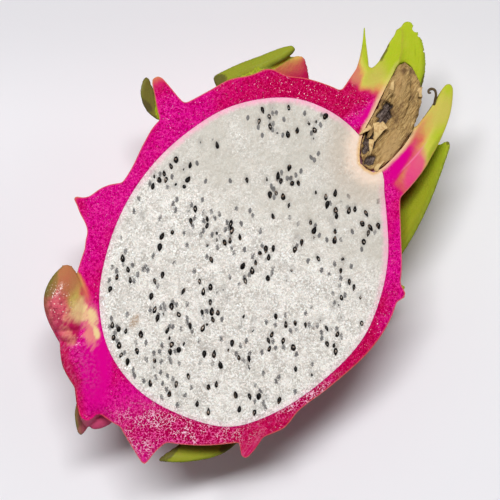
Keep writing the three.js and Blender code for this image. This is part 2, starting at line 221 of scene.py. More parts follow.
def reach_of(outline):
    """How far the outline lies from the middle, for any bearing."""
    line = smooth_line(outline, 720, closed=True)
    bearing = np.arctan2(line[:, 1], line[:, 0])
    order = np.argsort(bearing)
    bearing, reach = bearing[order], np.hypot(line[:, 0], line[:, 1])[order]
    return lambda a: np.interp(a, bearing, reach, period=2 * math.pi)


rind_reach, flesh_reach = reach_of(RIND_OUTLINE), reach_of(FLESH_OUTLINE)
print("rim of the rind, mm from the middle:", rind_reach(np.radians([0, 90, 180, -90])).round(1))

# %% [markdown]
# ## Three ways to mould a ball
#
# Body, crown and scales all start as a ball with enough faces. A bowl is a ball whose every ring
# follows the oval. A tube of changing section is a ball stretched along X. A scale is a ball pressed
# flat along its spine: broad where it grows from the rind, thin and pointed at its tip. A lathe
# can't make the bowl, because the oval isn't round, and sculpting by hand couldn't be repeated.


# %% A ball becomes a bowl or a tube
def new_ball(name, segments, rings):
    pick_only()
    bpy.ops.mesh.primitive_uv_sphere_add(segments=segments, ring_count=rings, radius=1)
    ball = bpy.context.object
    ball.name = ball.data.name = name
    rows = points_of(ball)
    down = np.arccos(np.clip(rows[:, 2], -1, 1))
    return ball, down, np.arctan2(rows[:, 1], rows[:, 0])


def bowl(name, reach, depth, dome, grown=0.0, segments=168, rings=100):
    """Its rim follows `reach` at the cut face; `dome` is its height above that."""
    ball, down, bearing = new_ball(name, segments, rings)
    dip = down - math.pi / 2
    out = (reach(bearing) + grown) * np.cos(dip)
    height = np.where(dip > 0, depth + grown, dome)
    rows = [out * np.cos(bearing), out * np.sin(bearing), CUT_HEIGHT - height * np.sin(dip)]
    move_points(ball, np.stack(rows, 1))
    return ball


def tube(name, sections, grown=0.0, segments=64, rings=60):
    """Sections are rows of x, y of the middle, half width and half depth."""
    ball, down, turn = new_ball(name, segments, rings)
    course = smooth_line(sections, 400)
    share = down / math.pi
    at = [np.interp(share, np.linspace(0, 1, 400), course[:, k]) for k in range(4)]
    open_out = np.clip(np.minimum(share, 1 - share) * rings * 0.99, 0, 1)
    wide, deep = (at[2] + grown) * open_out, (at[3] + grown) * open_out
    height = CUT_HEIGHT + deep * np.sin(turn)
    move_points(ball, np.stack([at[0], at[1] + wide * np.cos(turn), height], 1))
    outward(ball)
    return ball


# %% A ball becomes a scale
def blade_frame(leaf, count=48):
    """The middle line of a scale with, at each step, its width, thickness and two directions."""
    course = smooth_line(leaf["spine"], count)
    course[:, 2] += CUT_HEIGHT
    along = np.gradient(course, axis=0)
    along /= np.linalg.norm(along, axis=1)[:, None]
    face = np.array(leaf["face"], dtype=float)
    face /= np.linalg.norm(face)
    across = np.cross(along, face)
    across /= np.linalg.norm(across, axis=1)[:, None]
    out = np.cross(across, along)
    u = np.linspace(0, 1, count)
    full = leaf["width"] * (1 - (0.985 * u) ** leaf.get("hold", 1.25)) ** 0.85
    full *= 1 - leaf.get("waist", 0) * (1 - smoothstep(0.12, 0.72, u))
    width = np.maximum(full, leaf.get("edge", LEAF_EDGE))
    tip = leaf.get("tip", LEAF_EDGE)
    thick = tip + (leaf["thick"] - tip) * (1 - u) ** leaf.get("taper", 1)
    rounded = min(0.4, 0.5 * tip / np.linalg.norm(np.diff(course, axis=0), axis=1).sum())
    thick *= np.sqrt(1 - 0.96 * np.clip((u - 1 + rounded) / rounded, 0, 1) ** 2)
    return u, course, across, out, width, thick


def blade(name, leaf, segments=26, rings=44):
    """Each ring of the ball becomes one section across the scale."""
    ball, down, turn = new_ball(name, segments, rings)
    u, course, across, out, width, thick = blade_frame(leaf)
    share = 1 - down / math.pi
    middle, side, face = (
        np.stack([np.interp(share, u, rows[:, k]) for k in range(3)], 1)
        for rows in (course, across, out)
    )
    wide, deep = np.interp(share, u, width), np.interp(share, u, thick)
    end = np.clip(np.minimum(share, 1 - share) * rings * 0.99, 0, 1)
    sideways = np.cos(turn)
    lift = np.sign(np.sin(turn)) * np.abs(np.sin(turn)) ** 0.8 * deep / 2 * end
    ripple = leaf.get("ripple", 0.0) * np.sin(9 * share + 3 * np.sign(sideways)) * sideways**2
    rolled = (leaf.get("cup", 0) * wide * sideways**2 + ripple * share) * end
    rows = middle + side * (sideways * wide / 2 * end)[:, None] + face * (lift + rolled)[:, None]
    rows[:, 2] = np.maximum(rows[:, 2], 0.9 + 0.25 * lift)
    move_points(ball, rows)
    outward(ball)
    return ball


# %% [markdown]
# ## The scales
#
# Every scale has a spine of x, y and height above the cut face, a width and thickness at its root,
# and the direction that its inner face looks. `hold` keeps the width further towards the tip,
# `taper` thins the blade faster, `waist` narrows its root, `tip` and `edge` are its least thickness
# and width, `cup` rolls its margins inwards and `ripple` makes them wavy. `green` says from which
# share of its length the magenta turns, and by which share it is fully green, and `dull` how dry it
# has become. `lean`, `slant`, `trough` and `vein` vary the green across a scale, and the function
# `leaf_values` says how.
#
# The ones that the knife passed through show as fins on the outline, the crown's are called
# bracts, and the flank's peep out from under the rim. Those that show are placed one by one. A
# rule alone would give an even spiral, and a real fruit is never so even.

# %% Scales that the knife went through
CUT_SCALES = [
    dict(spine=[(21.6, 39, 0), (24.2, 45.6, 0), (26.5, 49.8, 0), (29.1, 54.8, 0)],
         width=24, thick=10.5, face=(0.9, -0.42, 0), taper=0.9, tip=2.8, green=(0.7, 1.5)),
    dict(spine=[(-13, 37, 0), (-13.4, 44, 0), (-14.6, 48.6, 0), (-14.7, 52.8, 0)],
         width=22, thick=36, face=(1, 0.05, 0), taper=1.75, green=(0.75, 1.7)),
    dict(spine=[(-51, 17.2, 0), (-58.2, 13.6, -0.6), (-63.2, 11.2, -2.2), (-67.8, 9.2, -4.2)],
         width=19, thick=15.4, face=(-0.45, -0.89, 0), green=(0.7, 1.9)),
    dict(spine=[(-53, -4, 0), (-58.6, -6.6, 0), (-62.6, -8.8, 0), (-66.4, -11.3, 0)],
         width=22, thick=24, face=(0.45, -0.89, 0), taper=1.2, green=(0.85, 2)),
    dict(spine=[(-34, -28, 0), (-40.4, -31.4, 0), (-44.6, -33, 0), (-47.6, -34, 0)],
         width=16, thick=11, face=(0.3, 0.95, 0), taper=1.1, tip=1.8, green=(0.85, 2)),
    dict(spine=[(17.6, -38, 0), (18.4, -41.4, 0), (19, -43.2, 0), (19.5, -44.7, 0)],
         width=12, thick=11, face=(-1, -0.15, 0), taper=1.05, green=(0.8, 2)),
]
print(len(CUT_SCALES), "scales that the knife went through")

# %% Bracts of the crown
CROWN_BRACTS = [
    dict(spine=[(55, 2, 0), (64, 4.2, 0), (69, 6.2, 0), (74, 9.6, 0)],
         width=17, thick=10, face=(-0.2, -0.97, 0), taper=1.5, lean=0.25, green=(0.24, 0.8)),
    dict(spine=[(60, -6, -8), (70, -4.9, -4.6), (79, -1.9, -2), (88.2, 3.4, -1.2)],
         width=16.4, thick=5.2, face=(-0.1, -0.26, 0.96), hold=3.6, cup=0.1, green=(-0.5, 0.2)),
    dict(spine=[(61, -1.2, 0), (69, -0.8, 0), (76, 0.6, 0), (84.4, 3.8, 0)],
         width=12, thick=13, face=(0.2, -0.97, 0), taper=1.1, green=(0.02, 0.44)),
    dict(spine=[(46.5, -20.6, 0), (58, -22, 0), (70, -21, 0), (79.6, -18.3, 0)],
         width=26, thick=11.8, face=(0.1, 0.99, 0), hold=2.6, taper=0.62, trough=(0.35, 0.9),
         lean=-0.16, vein=1, green=(0.17, 0.96)),
    dict(spine=[(52, -6, -17), (60, -5.4, -17), (67, -4, -14.6), (73, -2, -10.6)],
         width=15, thick=5, face=(0.2, 0.05, 0.98), cup=0.14, green=(-0.4, 0.4)),
    dict(spine=[(50, -22, -14), (58, -24.4, -16), (64, -24.4, -15), (69, -23.2, -12)],
         width=11, thick=4.6, face=(0.1, 0.4, 0.9), cup=0.12, green=(-0.3, 0.5)),
]
NEEDLE = dict(
    spine=[(66, 4.6, -0.8), (70.6, 7.2, -0.6), (74.6, 9.9, -0.5), (78.4, 12.6, -0.4)],
    width=5, thick=4.6, face=(-0.2, -0.97, 0), taper=1.6, tip=0.4, edge=0.7, lean=0.25,
    green=(0.2, 1.25),
)
print(len(CROWN_BRACTS), "bracts, and the needle that the first one ends in")

# %% Scales of the flanks, and the one that the knife missed
FLANK_SCALES = [
    dict(spine=[(22, -29, -21), (38, -29.4, -17), (53, -29, -11.4), (66, -28.4, -3.8)],
         width=25, thick=5.2, face=(-0.1, 0.7, 0.7), hold=2, cup=0.08, dull=0.16, green=(-0.9, 0.2)),
    dict(spine=[(37, 23, -20), (46.6, 24.2, -13), (54, 23.4, -8.6), (61.4, 23, -6)],
         width=30, thick=6, face=(0.3, -0.45, 0.84), hold=1.8, cup=0.1, slant=-0.4,
         green=(0.3, 2.1)),
    dict(spine=[(38.8, 39.8, -7), (46, 35.6, -4.8), (52.9, 30.9, -3.2), (61.6, 26, -2.2)],
         width=5, thick=4.2, face=(0, 0.5, 0.85), hold=9, taper=0.2, dull=0.5,
         green=(-1, -0.5)),
    dict(spine=[(21.8, 47, -6.4), (21.8, 50.8, -4.8), (23.8, 54.2, -3.6), (27.8, 57.4, -2.4)],
         width=5.6, thick=2.4, face=(0.3, -0.3, 0.9), hold=5, cup=0.12, dull=0.9,
         green=(-1, -0.5)),
    dict(spine=[(-50, 19, -10), (-58.4, 15.4, -10.4), (-65.6, 12.8, -8.6), (-71, 9.4, -6.4)],
         width=10.4, thick=4.4, face=(-0.3, -0.75, 0.6), hold=3.4, cup=0.08, dull=1,
         green=(0, 0.5)),
    dict(spine=[(-38, -25, -20), (-47.6, -24, -14), (-56, -19.2, -10.4), (-63.4, -13.6, -8)],
         width=12.8, thick=4.8, face=(-0.2, 0.3, 0.93), hold=1.6, cup=0.08, dull=0.5,
         green=(-0.4, 0.4)),
    dict(spine=[(-50, 10, -12), (-57, 9.6, -9.4), (-62.6, 8.4, -7), (-67.4, 8, -5.4)],
         width=11.5, thick=7, face=(-0.3, -0.35, 0.88), hold=3.2, taper=0.5, dull=0.2,
         green=(0.9, 3)),
]
WHOLE_SCALE = dict(
    spine=[(-53.5, 21, -8), (-47.6, 30, -2.6), (-40.4, 36.8, 0), (-32.2, 42.2, 0.3)],
    width=15.4, thick=9.6, face=(0.3, -0.12, 0.95), hold=4.2, taper=0.55, cup=-0.02, waist=0.55,
    edge=3, green=(0.3, 1.7),
)
print(len(FLANK_SCALES), "scales on the flanks, and one that is whole")


# %% A repeatable stream of numbers from 0 to 1
def stream(seed):
    """The same generator as the CAD source uses, so that both place scales and seeds alike."""
    state, whole = seed, 0xFFFFFFFF

    def draw():
        nonlocal state
        state = (state + 0x6D2B79F5) & whole
        t = state
        t = ((t ^ (t >> 15)) * (t | 1)) & whole
        t ^= (t + (((t ^ (t >> 7)) * (t | 61)) & whole)) & whole
        return ((t ^ (t >> 14)) & whole) / (whole + 1)

    return draw


print("first draw of seed 1:", round(stream(1)(), 3))


# %% Scales of the hidden back, in a spiral
SPIRAL = dict(count=25, first=4, golden=137.508, start=28, lowest=26)  # angles in degrees
STEM_X, CROWN_X, HALF_LENGTH = -50, 42, 61  # where the spiral starts and ends, and the body's half
BACK_SCALE = dict(width=25, thick=5.4, hold=1.35, cup=0.12, green=(0.35, 1.05))
BACK_LENGTH, BACK_LIFT = 24, 9.5  # of a scale, and how far its tip stands off the back


def on_back(x, round_deg, off):
    """The point of the back at this x and angle round it, moved off by so much."""
    a = math.radians(round_deg)
    rim = smooth_line(RIND_OUTLINE, 200, closed=True)
    rim = rim[np.sign(rim[:, 1]) == (1 if round_deg < 90 else -1)]
    half = abs(rim[np.argmin(abs(rim[:, 0] - x)), 1])
    reach = math.sqrt(max(0.0, 1 - (x / HALF_LENGTH) ** 2))
    return (x, (half + off) * math.cos(a), -(RIND_DEPTH * reach + off) * math.sin(a))


def spiral_scales(count, first, golden, start, lowest):
    """One scale a turn, kept only where it looks out of the hidden back."""
    kept, draw = [], stream(count)
    for n in range(first, count):
        round_deg = (start + n * golden) % 360
        size = 0.85 + 0.3 * draw()
        if round_deg < lowest or round_deg > 180 - lowest:
            continue
        x = STEM_X + (CROWN_X - STEM_X) * n / (count - 1)
        lifts = [lift * size for lift in (-2.4, 0.4, BACK_LIFT * 0.45, BACK_LIFT)]
        steps = (0, 0.36, 0.7, 1)
        spine = [on_back(x + s * BACK_LENGTH * size * 0.94, round_deg, o) for s, o in zip(steps, lifts)]
        a = math.radians(round_deg)
        face = (0.35, -math.cos(a), math.sin(a))
        width = BACK_SCALE["width"] * size
        kept.append(dict(BACK_SCALE, spine=spine, face=face, width=width))
    return kept


BACK_SCALES = spiral_scales(**SPIRAL)
print(len(BACK_SCALES), "scales on the back")

# %% [markdown]
# ## One skin over body and scales
#
# On the fruit, scales grow out of the rind without a seam. A boolean union would leave a sharp
# crease at each root. A voxel remesh melts the overlapping balls into one closed skin, and a few
# rounds of smoothing leave the soft fillets that a growing thing has. The distance to this uncut
# skin will say how deep any point of the cut face lies.

# %% The uncut rind
BODY_DOME = 11.0  # the uncut body rises so far over the cut face, for the knife to take off
SKIN_VOXEL = 0.63  # fine enough for a fold, and coarse enough for under 200,000 triangles
NECK = [(34, -6, 19, 24), (48, -7, 20, 21.5), (56, -9.4, 17.6, 17.4), (62.4, -11, 14.6, 13)]
parts = [bowl("body", rind_reach, RIND_DEPTH, BODY_DOME), tube("neck", NECK)]
ALL_LEAVES = CUT_SCALES + CROWN_BRACTS + FLANK_SCALES + BACK_SCALES
parts += [blade(f"scale_{n}", leaf) for n, leaf in enumerate(ALL_LEAVES)]
rind = merge_into_one("rind_skin", parts)
modify(rind, "REMESH", mode="VOXEL", voxel_size=SKIN_VOXEL, adaptivity=0.0, use_smooth_shade=True)
modify(rind, "SMOOTH", factor=0.5, iterations=3)
skin_tree = BVHTree.FromObject(rind, bpy.context.evaluated_depsgraph_get())
print("uncut rind:", len(rind.data.polygons), "faces", round(time.time() - started, 1), "s")

# %% [markdown]
# ## The knife
#
# Bisect would cut the fruit too, but it leaves one huge flat face. This knife is a block whose
# lower face is a fine grid. Cutting with it leaves that grid on the cut face, so there are enough
# points there for a slightly uneven surface and for the values that the material reads. The
# flesh's cavity and the hollow of the crown are cut out next, and the scale that the knife missed
# is added whole.


# %% A knife with a gridded blade
KNIFE_THICK = 60


def knife(step, low=(-74, -50), high=(92, 62)):
    """A block on the cut face, from corner to corner, gridded in steps of so many millimetres."""
    pick_only()
    wide, deep = high[0] - low[0], high[1] - low[1]
    bpy.ops.mesh.primitive_grid_add(
        x_subdivisions=int(wide / step), y_subdivisions=int(deep / step), size=1,
        location=((low[0] + high[0]) / 2, (low[1] + high[1]) / 2, CUT_HEIGHT),
    )
    block = bpy.context.object
    block.scale = (wide, deep, 1)
    bpy.ops.object.transform_apply(location=True, rotation=False, scale=True)
    bpy.ops.object.mode_set(mode="EDIT")
    bpy.ops.mesh.select_all(action="SELECT")
    bpy.ops.mesh.extrude_region_move(TRANSFORM_OT_translate={"value": (0, 0, KNIFE_THICK)})
    bpy.ops.object.mode_set(mode="OBJECT")
    outward(block)
    return block


# %% Cut it open
RIND_GRID, FLESH_DOME = 0.62, 20  # step of the knife's grid, and how far the flesh's ball rises
TORN = [(87.5, -0.2, 1.2), (86.4, -2.2, 0.6), (83.4, -6.2, 0.5)]  # bites from the broad bract's tip
FLOWER_HOLLOW = [
    (43.6, -13, 2.2, 3), (46.5, -12.6, 4.1, 5), (52, -11.8, 5.9, 7), (58, -11.5, 6.5, 8.2),
    (65.6, -10, 6.4, 8), (71.7, -8.2, 5.5, 6.6), (75, -6.2, 3.9, 5), (77.5, -4.6, 1.6, 2.6),
]
needle = blade("needle", NEEDLE, 24, 40)
boolean(rind, needle, "UNION")
boolean(rind, knife(RIND_GRID), "DIFFERENCE")
whole_scale = blade("whole_scale", WHOLE_SCALE, segments=60, rings=90)
boolean(rind, whole_scale, "UNION")
cavity = bowl("cavity", flesh_reach, FLESH_DEPTH, FLESH_DOME, -0.1, 132, 60)
boolean(rind, cavity, "DIFFERENCE")
boolean(rind, tube("hollow", FLOWER_HOLLOW), "DIFFERENCE")
for x, y, size in TORN:
    bite = new_ball("bite", 20, 12)[0]
    move_points(bite, points_of(bite) * size * (1, 1, 5) + (x, y, CUT_HEIGHT))
    boolean(rind, bite, "DIFFERENCE")
rows = points_of(rind)
rows[:, 2] = np.maximum(rows[:, 2], 0)
move_points(rind, rows)
outward(rind)
print("cut rind:", len(rind.data.polygons), "faces", round(time.time() - started, 1), "s")

# %% [markdown]
# ## Softened edges and folds
#
# Where the whole scale meets the cut face the two flow into each other. A bevel there would be too
# even, so that stretch is smoothed alone, through a vertex group. Two folds are pressed into the
# root of that scale. The rim of a cut rind isn't knife-sharp either: its outermost millimetre sinks
# a little, most near the stem, where the rind is soft.

# %% Where folds lie, and how values spread
# Folds are rows of x, y of both ends, depth and width.
FOLDS = [(-50.6, 33.4, -45, 26.4, 0.9, 0.8), (-52.6, 30.2, -48.6, 26, 0.3, 0.8)]
# Ovals are rows of x, y, half length, half width and turn in degrees.
SOFT_RIM = [(-57.5, 24.5, 12, 5, 52), (-62, 12, 8, 4, 75)]
SCALE_ROOT = [(-43.6, 31.6, 12.5, 8, 40), (-53.2, 29.4, 4.4, 3.4, 40)]
BRACT_EDGE = [(80, 0.4, 7.6, 3, 30)]


def fold_depth(rows, folds):
    """How deep the folds are at each point."""
    depth = np.zeros(len(rows))
    for x0, y0, x1, y1, deep, wide in folds:
        line = np.array([x1 - x0, y1 - y0])
        share = ((rows[:, 0] - x0) * line[0] + (rows[:, 1] - y0) * line[1]) / (line @ line)
        share = np.clip(share, 0, 1)
        away = np.hypot(rows[:, 0] - x0 - share * line[0], rows[:, 1] - y0 - share * line[1])
        depth += deep * np.exp(-((away / wide) ** 2)) * np.sin(math.pi * (0.15 + 0.7 * share))
    return depth


def blurred(piece, values, rounds):
    """Each round gives every point the mean of itself and its neighbours."""
    pairs = np.empty(len(piece.data.edges) * 2, dtype=np.int64)
    piece.data.edges.foreach_get("vertices", pairs)
    first, second = pairs.reshape(-1, 2).T
    total = len(values)
    count = 1 + np.bincount(first, minlength=total) + np.bincount(second, minlength=total)
    for _ in range(rounds):
        around = np.bincount(first, values[second], total) + np.bincount(second, values[first], total)
        values = (values + around) / count
    return values


# %% Fillet, folds and rim
FLAT = 0.05  # a point so near to the cut height lies on the cut face
rows = points_of(rind)
knife_made = (abs(rows[:, 2] - CUT_HEIGHT) < FLAT).astype(float)
knife_soft = blurred(rind, knife_made, 14)
join = soft_ovals(rows, SCALE_ROOT, 0.3) * (rows[:, 2] > CUT_HEIGHT - 11)
edge = soft_ovals(rows, BRACT_EDGE, 0.3) * (rows[:, 2] > CUT_HEIGHT - 2.4)
for name, share, rounds in (("join", join, 16), ("edge", edge, 12)):
    group = rind.vertex_groups.new(name=name)
    for index in np.flatnonzero(share > 0.02):
        group.add([int(index)], float(share[index]), "REPLACE")
    modify(rind, "SMOOTH", factor=0.6, iterations=rounds, vertex_group=name)
rind.vertex_groups.clear()
knife_made += (knife_soft - knife_made) * np.clip(3 * np.maximum(join, edge), 0, 1)
rows = points_of(rind)
skin_gap = distances(rows, skin_tree, 4)
upper = smoothstep(CUT_HEIGHT - 6, CUT_HEIGHT - 3, rows[:, 2])
rows[:, 2] -= fold_depth(rows, FOLDS) * upper
flat = abs(rows[:, 2] - CUT_HEIGHT) < FLAT
rows[flat, 2] -= 0.22 * np.clip(1 - skin_gap[flat] / 0.9, 0, 1) ** 2
loose = soft_ovals(rows, SOFT_RIM)
rows[flat, 2] -= (1.5 * loose * np.clip(1 - skin_gap / 3.2, 0, 1) ** 1.6)[flat]
move_points(rind, rows)
print("rim softened", round(time.time() - started, 1), "s")

# %% [markdown]
# ## What the material needs to know
#
# Colour in a rind follows its growth: green where a scale is young, orange just under the skin, pale
# beside the flesh. So every point of the mesh stores how far along which scale it is, how deep under
# the skin it lies, how far from the flesh and from the hollow, and whether the knife made it.
# Distances are stored instead of colours, because a line drawn where a distance passes a limit stays
# sharp and smooth between the points. Painting by hand would be quicker, but can't be repeated.


# %% Patches of the rind: x, y, half length, half width and turn in degrees
SMOOTH_PATCHES = [(-51, 17.6, 13, 4, 36), (58, -3.6, 5, 1.2, -12), (52, -20.6, 8, 2.2, 0)]
COARSE_PATCHES = [(-52, -14, 18, 8, -54), (-22.5, -38.8, 11, 1.8, -22)]
PINK_PATCHES = [(-8, 42, 36, 9, 0), (-46, 33, 14, 8, 45), (-60, -4, 14, 9, -70), (22, 47, 8, 8, 0),
                (44, -22, 8, 4, 20), (22, -40, 14, 5, 24), (57, -2, 8, 3, -12)]
CRIMSON_PATCHES = [(53, 14, 17, 9, -72), (-37, -34, 10, 4, -30), (0, -44, 18, 4, 4),
                   (-55.8, 26, 8, 2.2, 50)]
CREAM_PATCHES = [(-41.2, 30.6, 4, 3, 36), (-40, 27, 3.6, 2, 50), (-43.2, 23.4, 2.6, 1, 48)]
ROSY_PATCHES = [(-44.6, 38, 4.4, 3.6, 36), (-48.4, 33.6, 4, 3.4, 36)]
BROWN_PATCHES = [(-36, 40, 6.4, 4.4, 36)]
# Painted light: a lighter pink on the underside of a scale under the rim, which lies in shade.
LIGHTENED_SHADED_PINK = [(-66, 6.6, 5, 6.4, 0)]
PEACH_PATCHES = [(-44.4, 33, 3, 1.6, 36), (-49, 29.4, 3.6, 2.2, 60), (-44.4, 24.4, 5, 2.6, 46)]
YELLOW_PATCHES = [(-38.6, 34.8, 5.4, 2, 36), (71, -21.5, 9, 4, -10), (68, 1, 5, 3, 0)]
GREEN_PATCHES = [(62, -26.6, 6, 1.7, -2)]
OLIVE_PATCHES = [(-39.4, 42.8, 5.4, 2.4, 30)]
ROSE_CUT = [(52, -25, 6.5, 2.6, 14)]
WET_PATCHES = [(-42.4, 37, 5.4, 4, 36), (-53, 20, 8, 3.4, 52)]
DARK_EDGES = [(70.6, -17.2, 6.6, 0.8, 2), (74.8, -11.9, 3.8, 0.8, 28), (75.6, 3.1, 3.4, 0.6, 10),
              (65.6, -28.4, 1.2, 0.8, 0)]
# Painted shade: dark patches on the skin under the rim and under scales.
DARK_BELOW = [(-62.4, -13.4, 3.4, 2.4, 40), (-57.6, -15.4, 4.6, 1.3, 0), (-47.8, -28.8, 3.4, 2, -50),
              (40, 39.4, 3, 2, -40), (20.4, 52.6, 1.6, 3, 0), (28.2, 58, 2.4, 1.2, 0)]
CORAL_PATCHES = [(61, -18, 9, 1.4, 0), (66, 6, 4, 3, 40)]
STRIPED = [(-57, 25.4, 12, 3.6, 50), (-44, -33.4, 6, 2, -20)]
# Each kind of patch has its ovals, how soft their edge is, and how far it runs down the outside.
SHALLOW, DEEP = 14, 24
PATCHES = {
    "smooth": (SMOOTH_PATCHES, 0.45, SHALLOW), "coarse": (COARSE_PATCHES, 0.7, SHALLOW),
    "pink": (PINK_PATCHES, 0.8, SHALLOW), "crimson": (CRIMSON_PATCHES, 0.8, SHALLOW),
    "cream": (CREAM_PATCHES, 0.8, SHALLOW), "peach": (PEACH_PATCHES, 0.8, SHALLOW),
    "coral": (CORAL_PATCHES, 0.8, SHALLOW), "yellow": (YELLOW_PATCHES, 0.8, SHALLOW),
    "olive": (OLIVE_PATCHES, 0.45, SHALLOW), "rosy": (ROSY_PATCHES, 0.8, SHALLOW),
    "brown": (BROWN_PATCHES, 0.6, SHALLOW), "shaded_pink": (LIGHTENED_SHADED_PINK, 0.6, DEEP),
    "rose_cut": (ROSE_CUT, 0.7, SHALLOW), "leaf_green": (GREEN_PATCHES, 0.6, DEEP),
    "wet": (WET_PATCHES, 0.45, SHALLOW), "dark": (DARK_EDGES, 0.45, DEEP),
    "dark_below": (DARK_BELOW, 0.45, DEEP), "striped": (STRIPED, 0.45, SHALLOW),
}
print(len(PATCHES), "kinds of patch")


# %% How far along a scale each point is
def leaf_values(rows, leaves):
    """For each point: how green, how far along, how far to the side, how dull, and the height
    over a vein.

    A scale may lean, which makes one face greener, or slant, which makes one side greener. A
    `trough` is a level within its thickness that stays magenta, with green above and below it.
    """
    total = len(rows)
    green, along_u, aside, inside, dull = (np.zeros(total) for _ in range(5))
    vein = np.full(total, 9.0)
    for leaf in leaves:
        u, course, across, out, width, thick = blade_frame(leaf, 40)
        margin = leaf["width"] / 2 + 4
        near = np.all((rows > course.min(0) - margin) & (rows < course.max(0) + margin), axis=1)
        index = np.flatnonzero(near)
        if not len(index):
            continue
        close = rows[index]
        gap = ((close[:, None, :] - course[None, :, :]) ** 2).sum(2)
        step = gap.argmin(1)
        off = close - course[step]
        side = (off * across[step]).sum(1) / (width[step] / 2)
        rolled = leaf.get("cup", 0) * width[step] * np.clip(side, -1.2, 1.2) ** 2
        rise = (off * out[step]).sum(1) - rolled
        lift = rise / (thick[step] / 2 + 0.6)
        weight = 1 - smoothstep(1.1, 1.55, np.sqrt(side**2 + lift**2))
        behind = -(off * (course[1] - course[0])).sum(1) / np.linalg.norm(course[1] - course[0])
        weight *= 1 - smoothstep(0.5, 4, np.where(step == 0, behind, 0))
        share = u[step] + leaf.get("lean", 0) * np.clip(lift, -1, 1) * smoothstep(0.25, 0.6, u[step])
        share += leaf.get("slant", 0) * np.clip(side, -1, 1)
        middle, steep = leaf.get("trough", (0, 0))
        share += steep * np.minimum((lift - middle) ** 2, 0.42)
        turn = leaf["green"]
        fresh = np.clip((share - turn[0]) / (turn[1] - turn[0]), 0, 1) * weight
        better = weight > inside[index]
        green[index] = np.maximum(green[index], fresh)
        along_u[index] = np.where(better, u[step], along_u[index])
        aside[index] = np.where(better, side, aside[index])
        dull[index] = np.where(better, leaf.get("dull", 0) * weight, dull[index])
        inside[index] = np.maximum(inside[index], weight)
        if leaf.get("vein"):
            vein[index] = np.where(weight > 0.5, rise, vein[index])
    return green, along_u, aside, dull, vein


# %% Store the values
rows = points_of(rind)
green, along_u, aside, dull, vein = leaf_values(rows, ALL_LEAVES + [NEEDLE, WHOLE_SCALE])
flesh_shell = bowl("flesh_shell", flesh_reach, FLESH_DEPTH, FLESH_DOME, 0, 132, 60)
hollow_shell = tube("hollow_shell", FLOWER_HOLLOW)
depsgraph = bpy.context.evaluated_depsgraph_get()
flesh_tree = BVHTree.FromObject(flesh_shell, depsgraph)
hollow_tree = BVHTree.FromObject(hollow_shell, depsgraph)
stored = {
    "under_skin": distances(rows, skin_tree),
    "from_flesh": distances(rows, flesh_tree),
    "from_hollow": distances(rows, hollow_tree),
    "on_cut": knife_made, "green": green, "along": along_u, "aside": aside,
    "dull": dull, "vein": vein,
}
for name, values in stored.items():
    keep_value(rind, name, values)
for name, (ovals, softness, down) in PATCHES.items():
    near_cut = smoothstep(CUT_HEIGHT - down, CUT_HEIGHT - down * 0.45, rows[:, 2])
    keep_value(rind, name + "_patch", soft_ovals(rows, ovals, softness) * near_cut)
for shell in (flesh_shell, hollow_shell):
    bpy.data.objects.remove(shell)
print("values stored", round(time.time() - started, 1), "s")

# %% [markdown]
# ## Seeds
#
# A dragon fruit's seeds are drops of about 2.4 mm, black and shiny, and each sits in its own clear
# jelly. They hang in loose clumps and point along the fibres of the pulp. A particle system would
# scatter them, but the export drops particles, and it wouldn't know the clumps. So one drop is
# modelled, with a few dozen faces, and copied. The places come from the same rule as in the CAD
# model. Those that lie deeper are only places, and the flesh's material draws their shadows.

# %% The rule for the seeds
SEED_TURN, SEED_SPREAD = 36, 24  # degrees from +X, as the fibres of the flesh run
SEEDLESS_CORE = (50, -9, 15)  # x, y and radius of the pale core under the crown, which holds none
STRAY_FROM, STRAY_SPAN = (-52, -44), (106, 86)  # where the seeds outside the clumps may fall
SEED_CLUMPS = [
    (39, 19), (46.5, 6), (6, 34), (25, 3.5), (29.5, -13), (2.5, 9.5), (1.5, -5), (-14, 2),
    (-26, 11), (-23, 0), (-37, 3), (11, -27), (17, -11.5), (-23, 28), (-41, 17), (-25, -14.5),
    (-10, -22), (-44, -4.5), (-31, -28), (-3.5, -35), (29, -26), (1, 19),
]
rim = smooth_line(FLESH_OUTLINE, 160, closed=True)
print(len(SEED_CLUMPS), "clumps of seeds")


# %% Where the seeds lie
def in_flesh(x, y, rim_gap):
    """Whether a seed may lie here: inside the oval, clear of its rim and of the pale core."""
    inside = math.hypot(x, y) < flesh_reach(math.atan2(y, x))
    core_x, core_y, radius = SEEDLESS_CORE
    clear = inside and np.hypot(rim[:, 0] - x, rim[:, 1] - y).min() >= rim_gap
    return clear and math.hypot(x - core_x, y - core_y) >= radius


def seed_places(count, seed, rim_gap, apart, clumped_share, spread, taken=()):
    """Draws places until there are enough, and keeps those that are clear of all others."""
    draw, places = stream(seed), []
    for _ in range(40000):
        if len(places) == count:
            break
        cx, cy = SEED_CLUMPS[int(len(SEED_CLUMPS) * draw())]
        clumped = draw() < clumped_share
        bearing = 2 * math.pi * draw()
        away = spread * math.sqrt(-2 * math.log(1 - 0.999 * draw()))
        x = cx + away * math.cos(bearing) if clumped else STRAY_FROM[0] + STRAY_SPAN[0] * draw()
        y = cy + away * math.sin(bearing) if clumped else STRAY_FROM[1] + STRAY_SPAN[1] * draw()
        turn = math.radians(SEED_TURN + SEED_SPREAD * (draw() + draw() - 1))
        if not in_flesh(x, y, rim_gap):
            continue
        if any(math.hypot(p[0] - x, p[1] - y) < apart for p in (*places, *taken)):
            continue
        places.append((x, y, turn))
    return places


SEEDS = seed_places(195, seed=11, rim_gap=2.0, apart=1.75, clumped_share=0.7, spread=3.0)
DEEP_SEEDS = seed_places(210, seed=23, rim_gap=2.0, apart=1.0, clumped_share=0.6, spread=3.2,
                         taken=SEEDS)
print(len(SEEDS), "seeds at the cut face and", len(DEEP_SEEDS), "deeper")

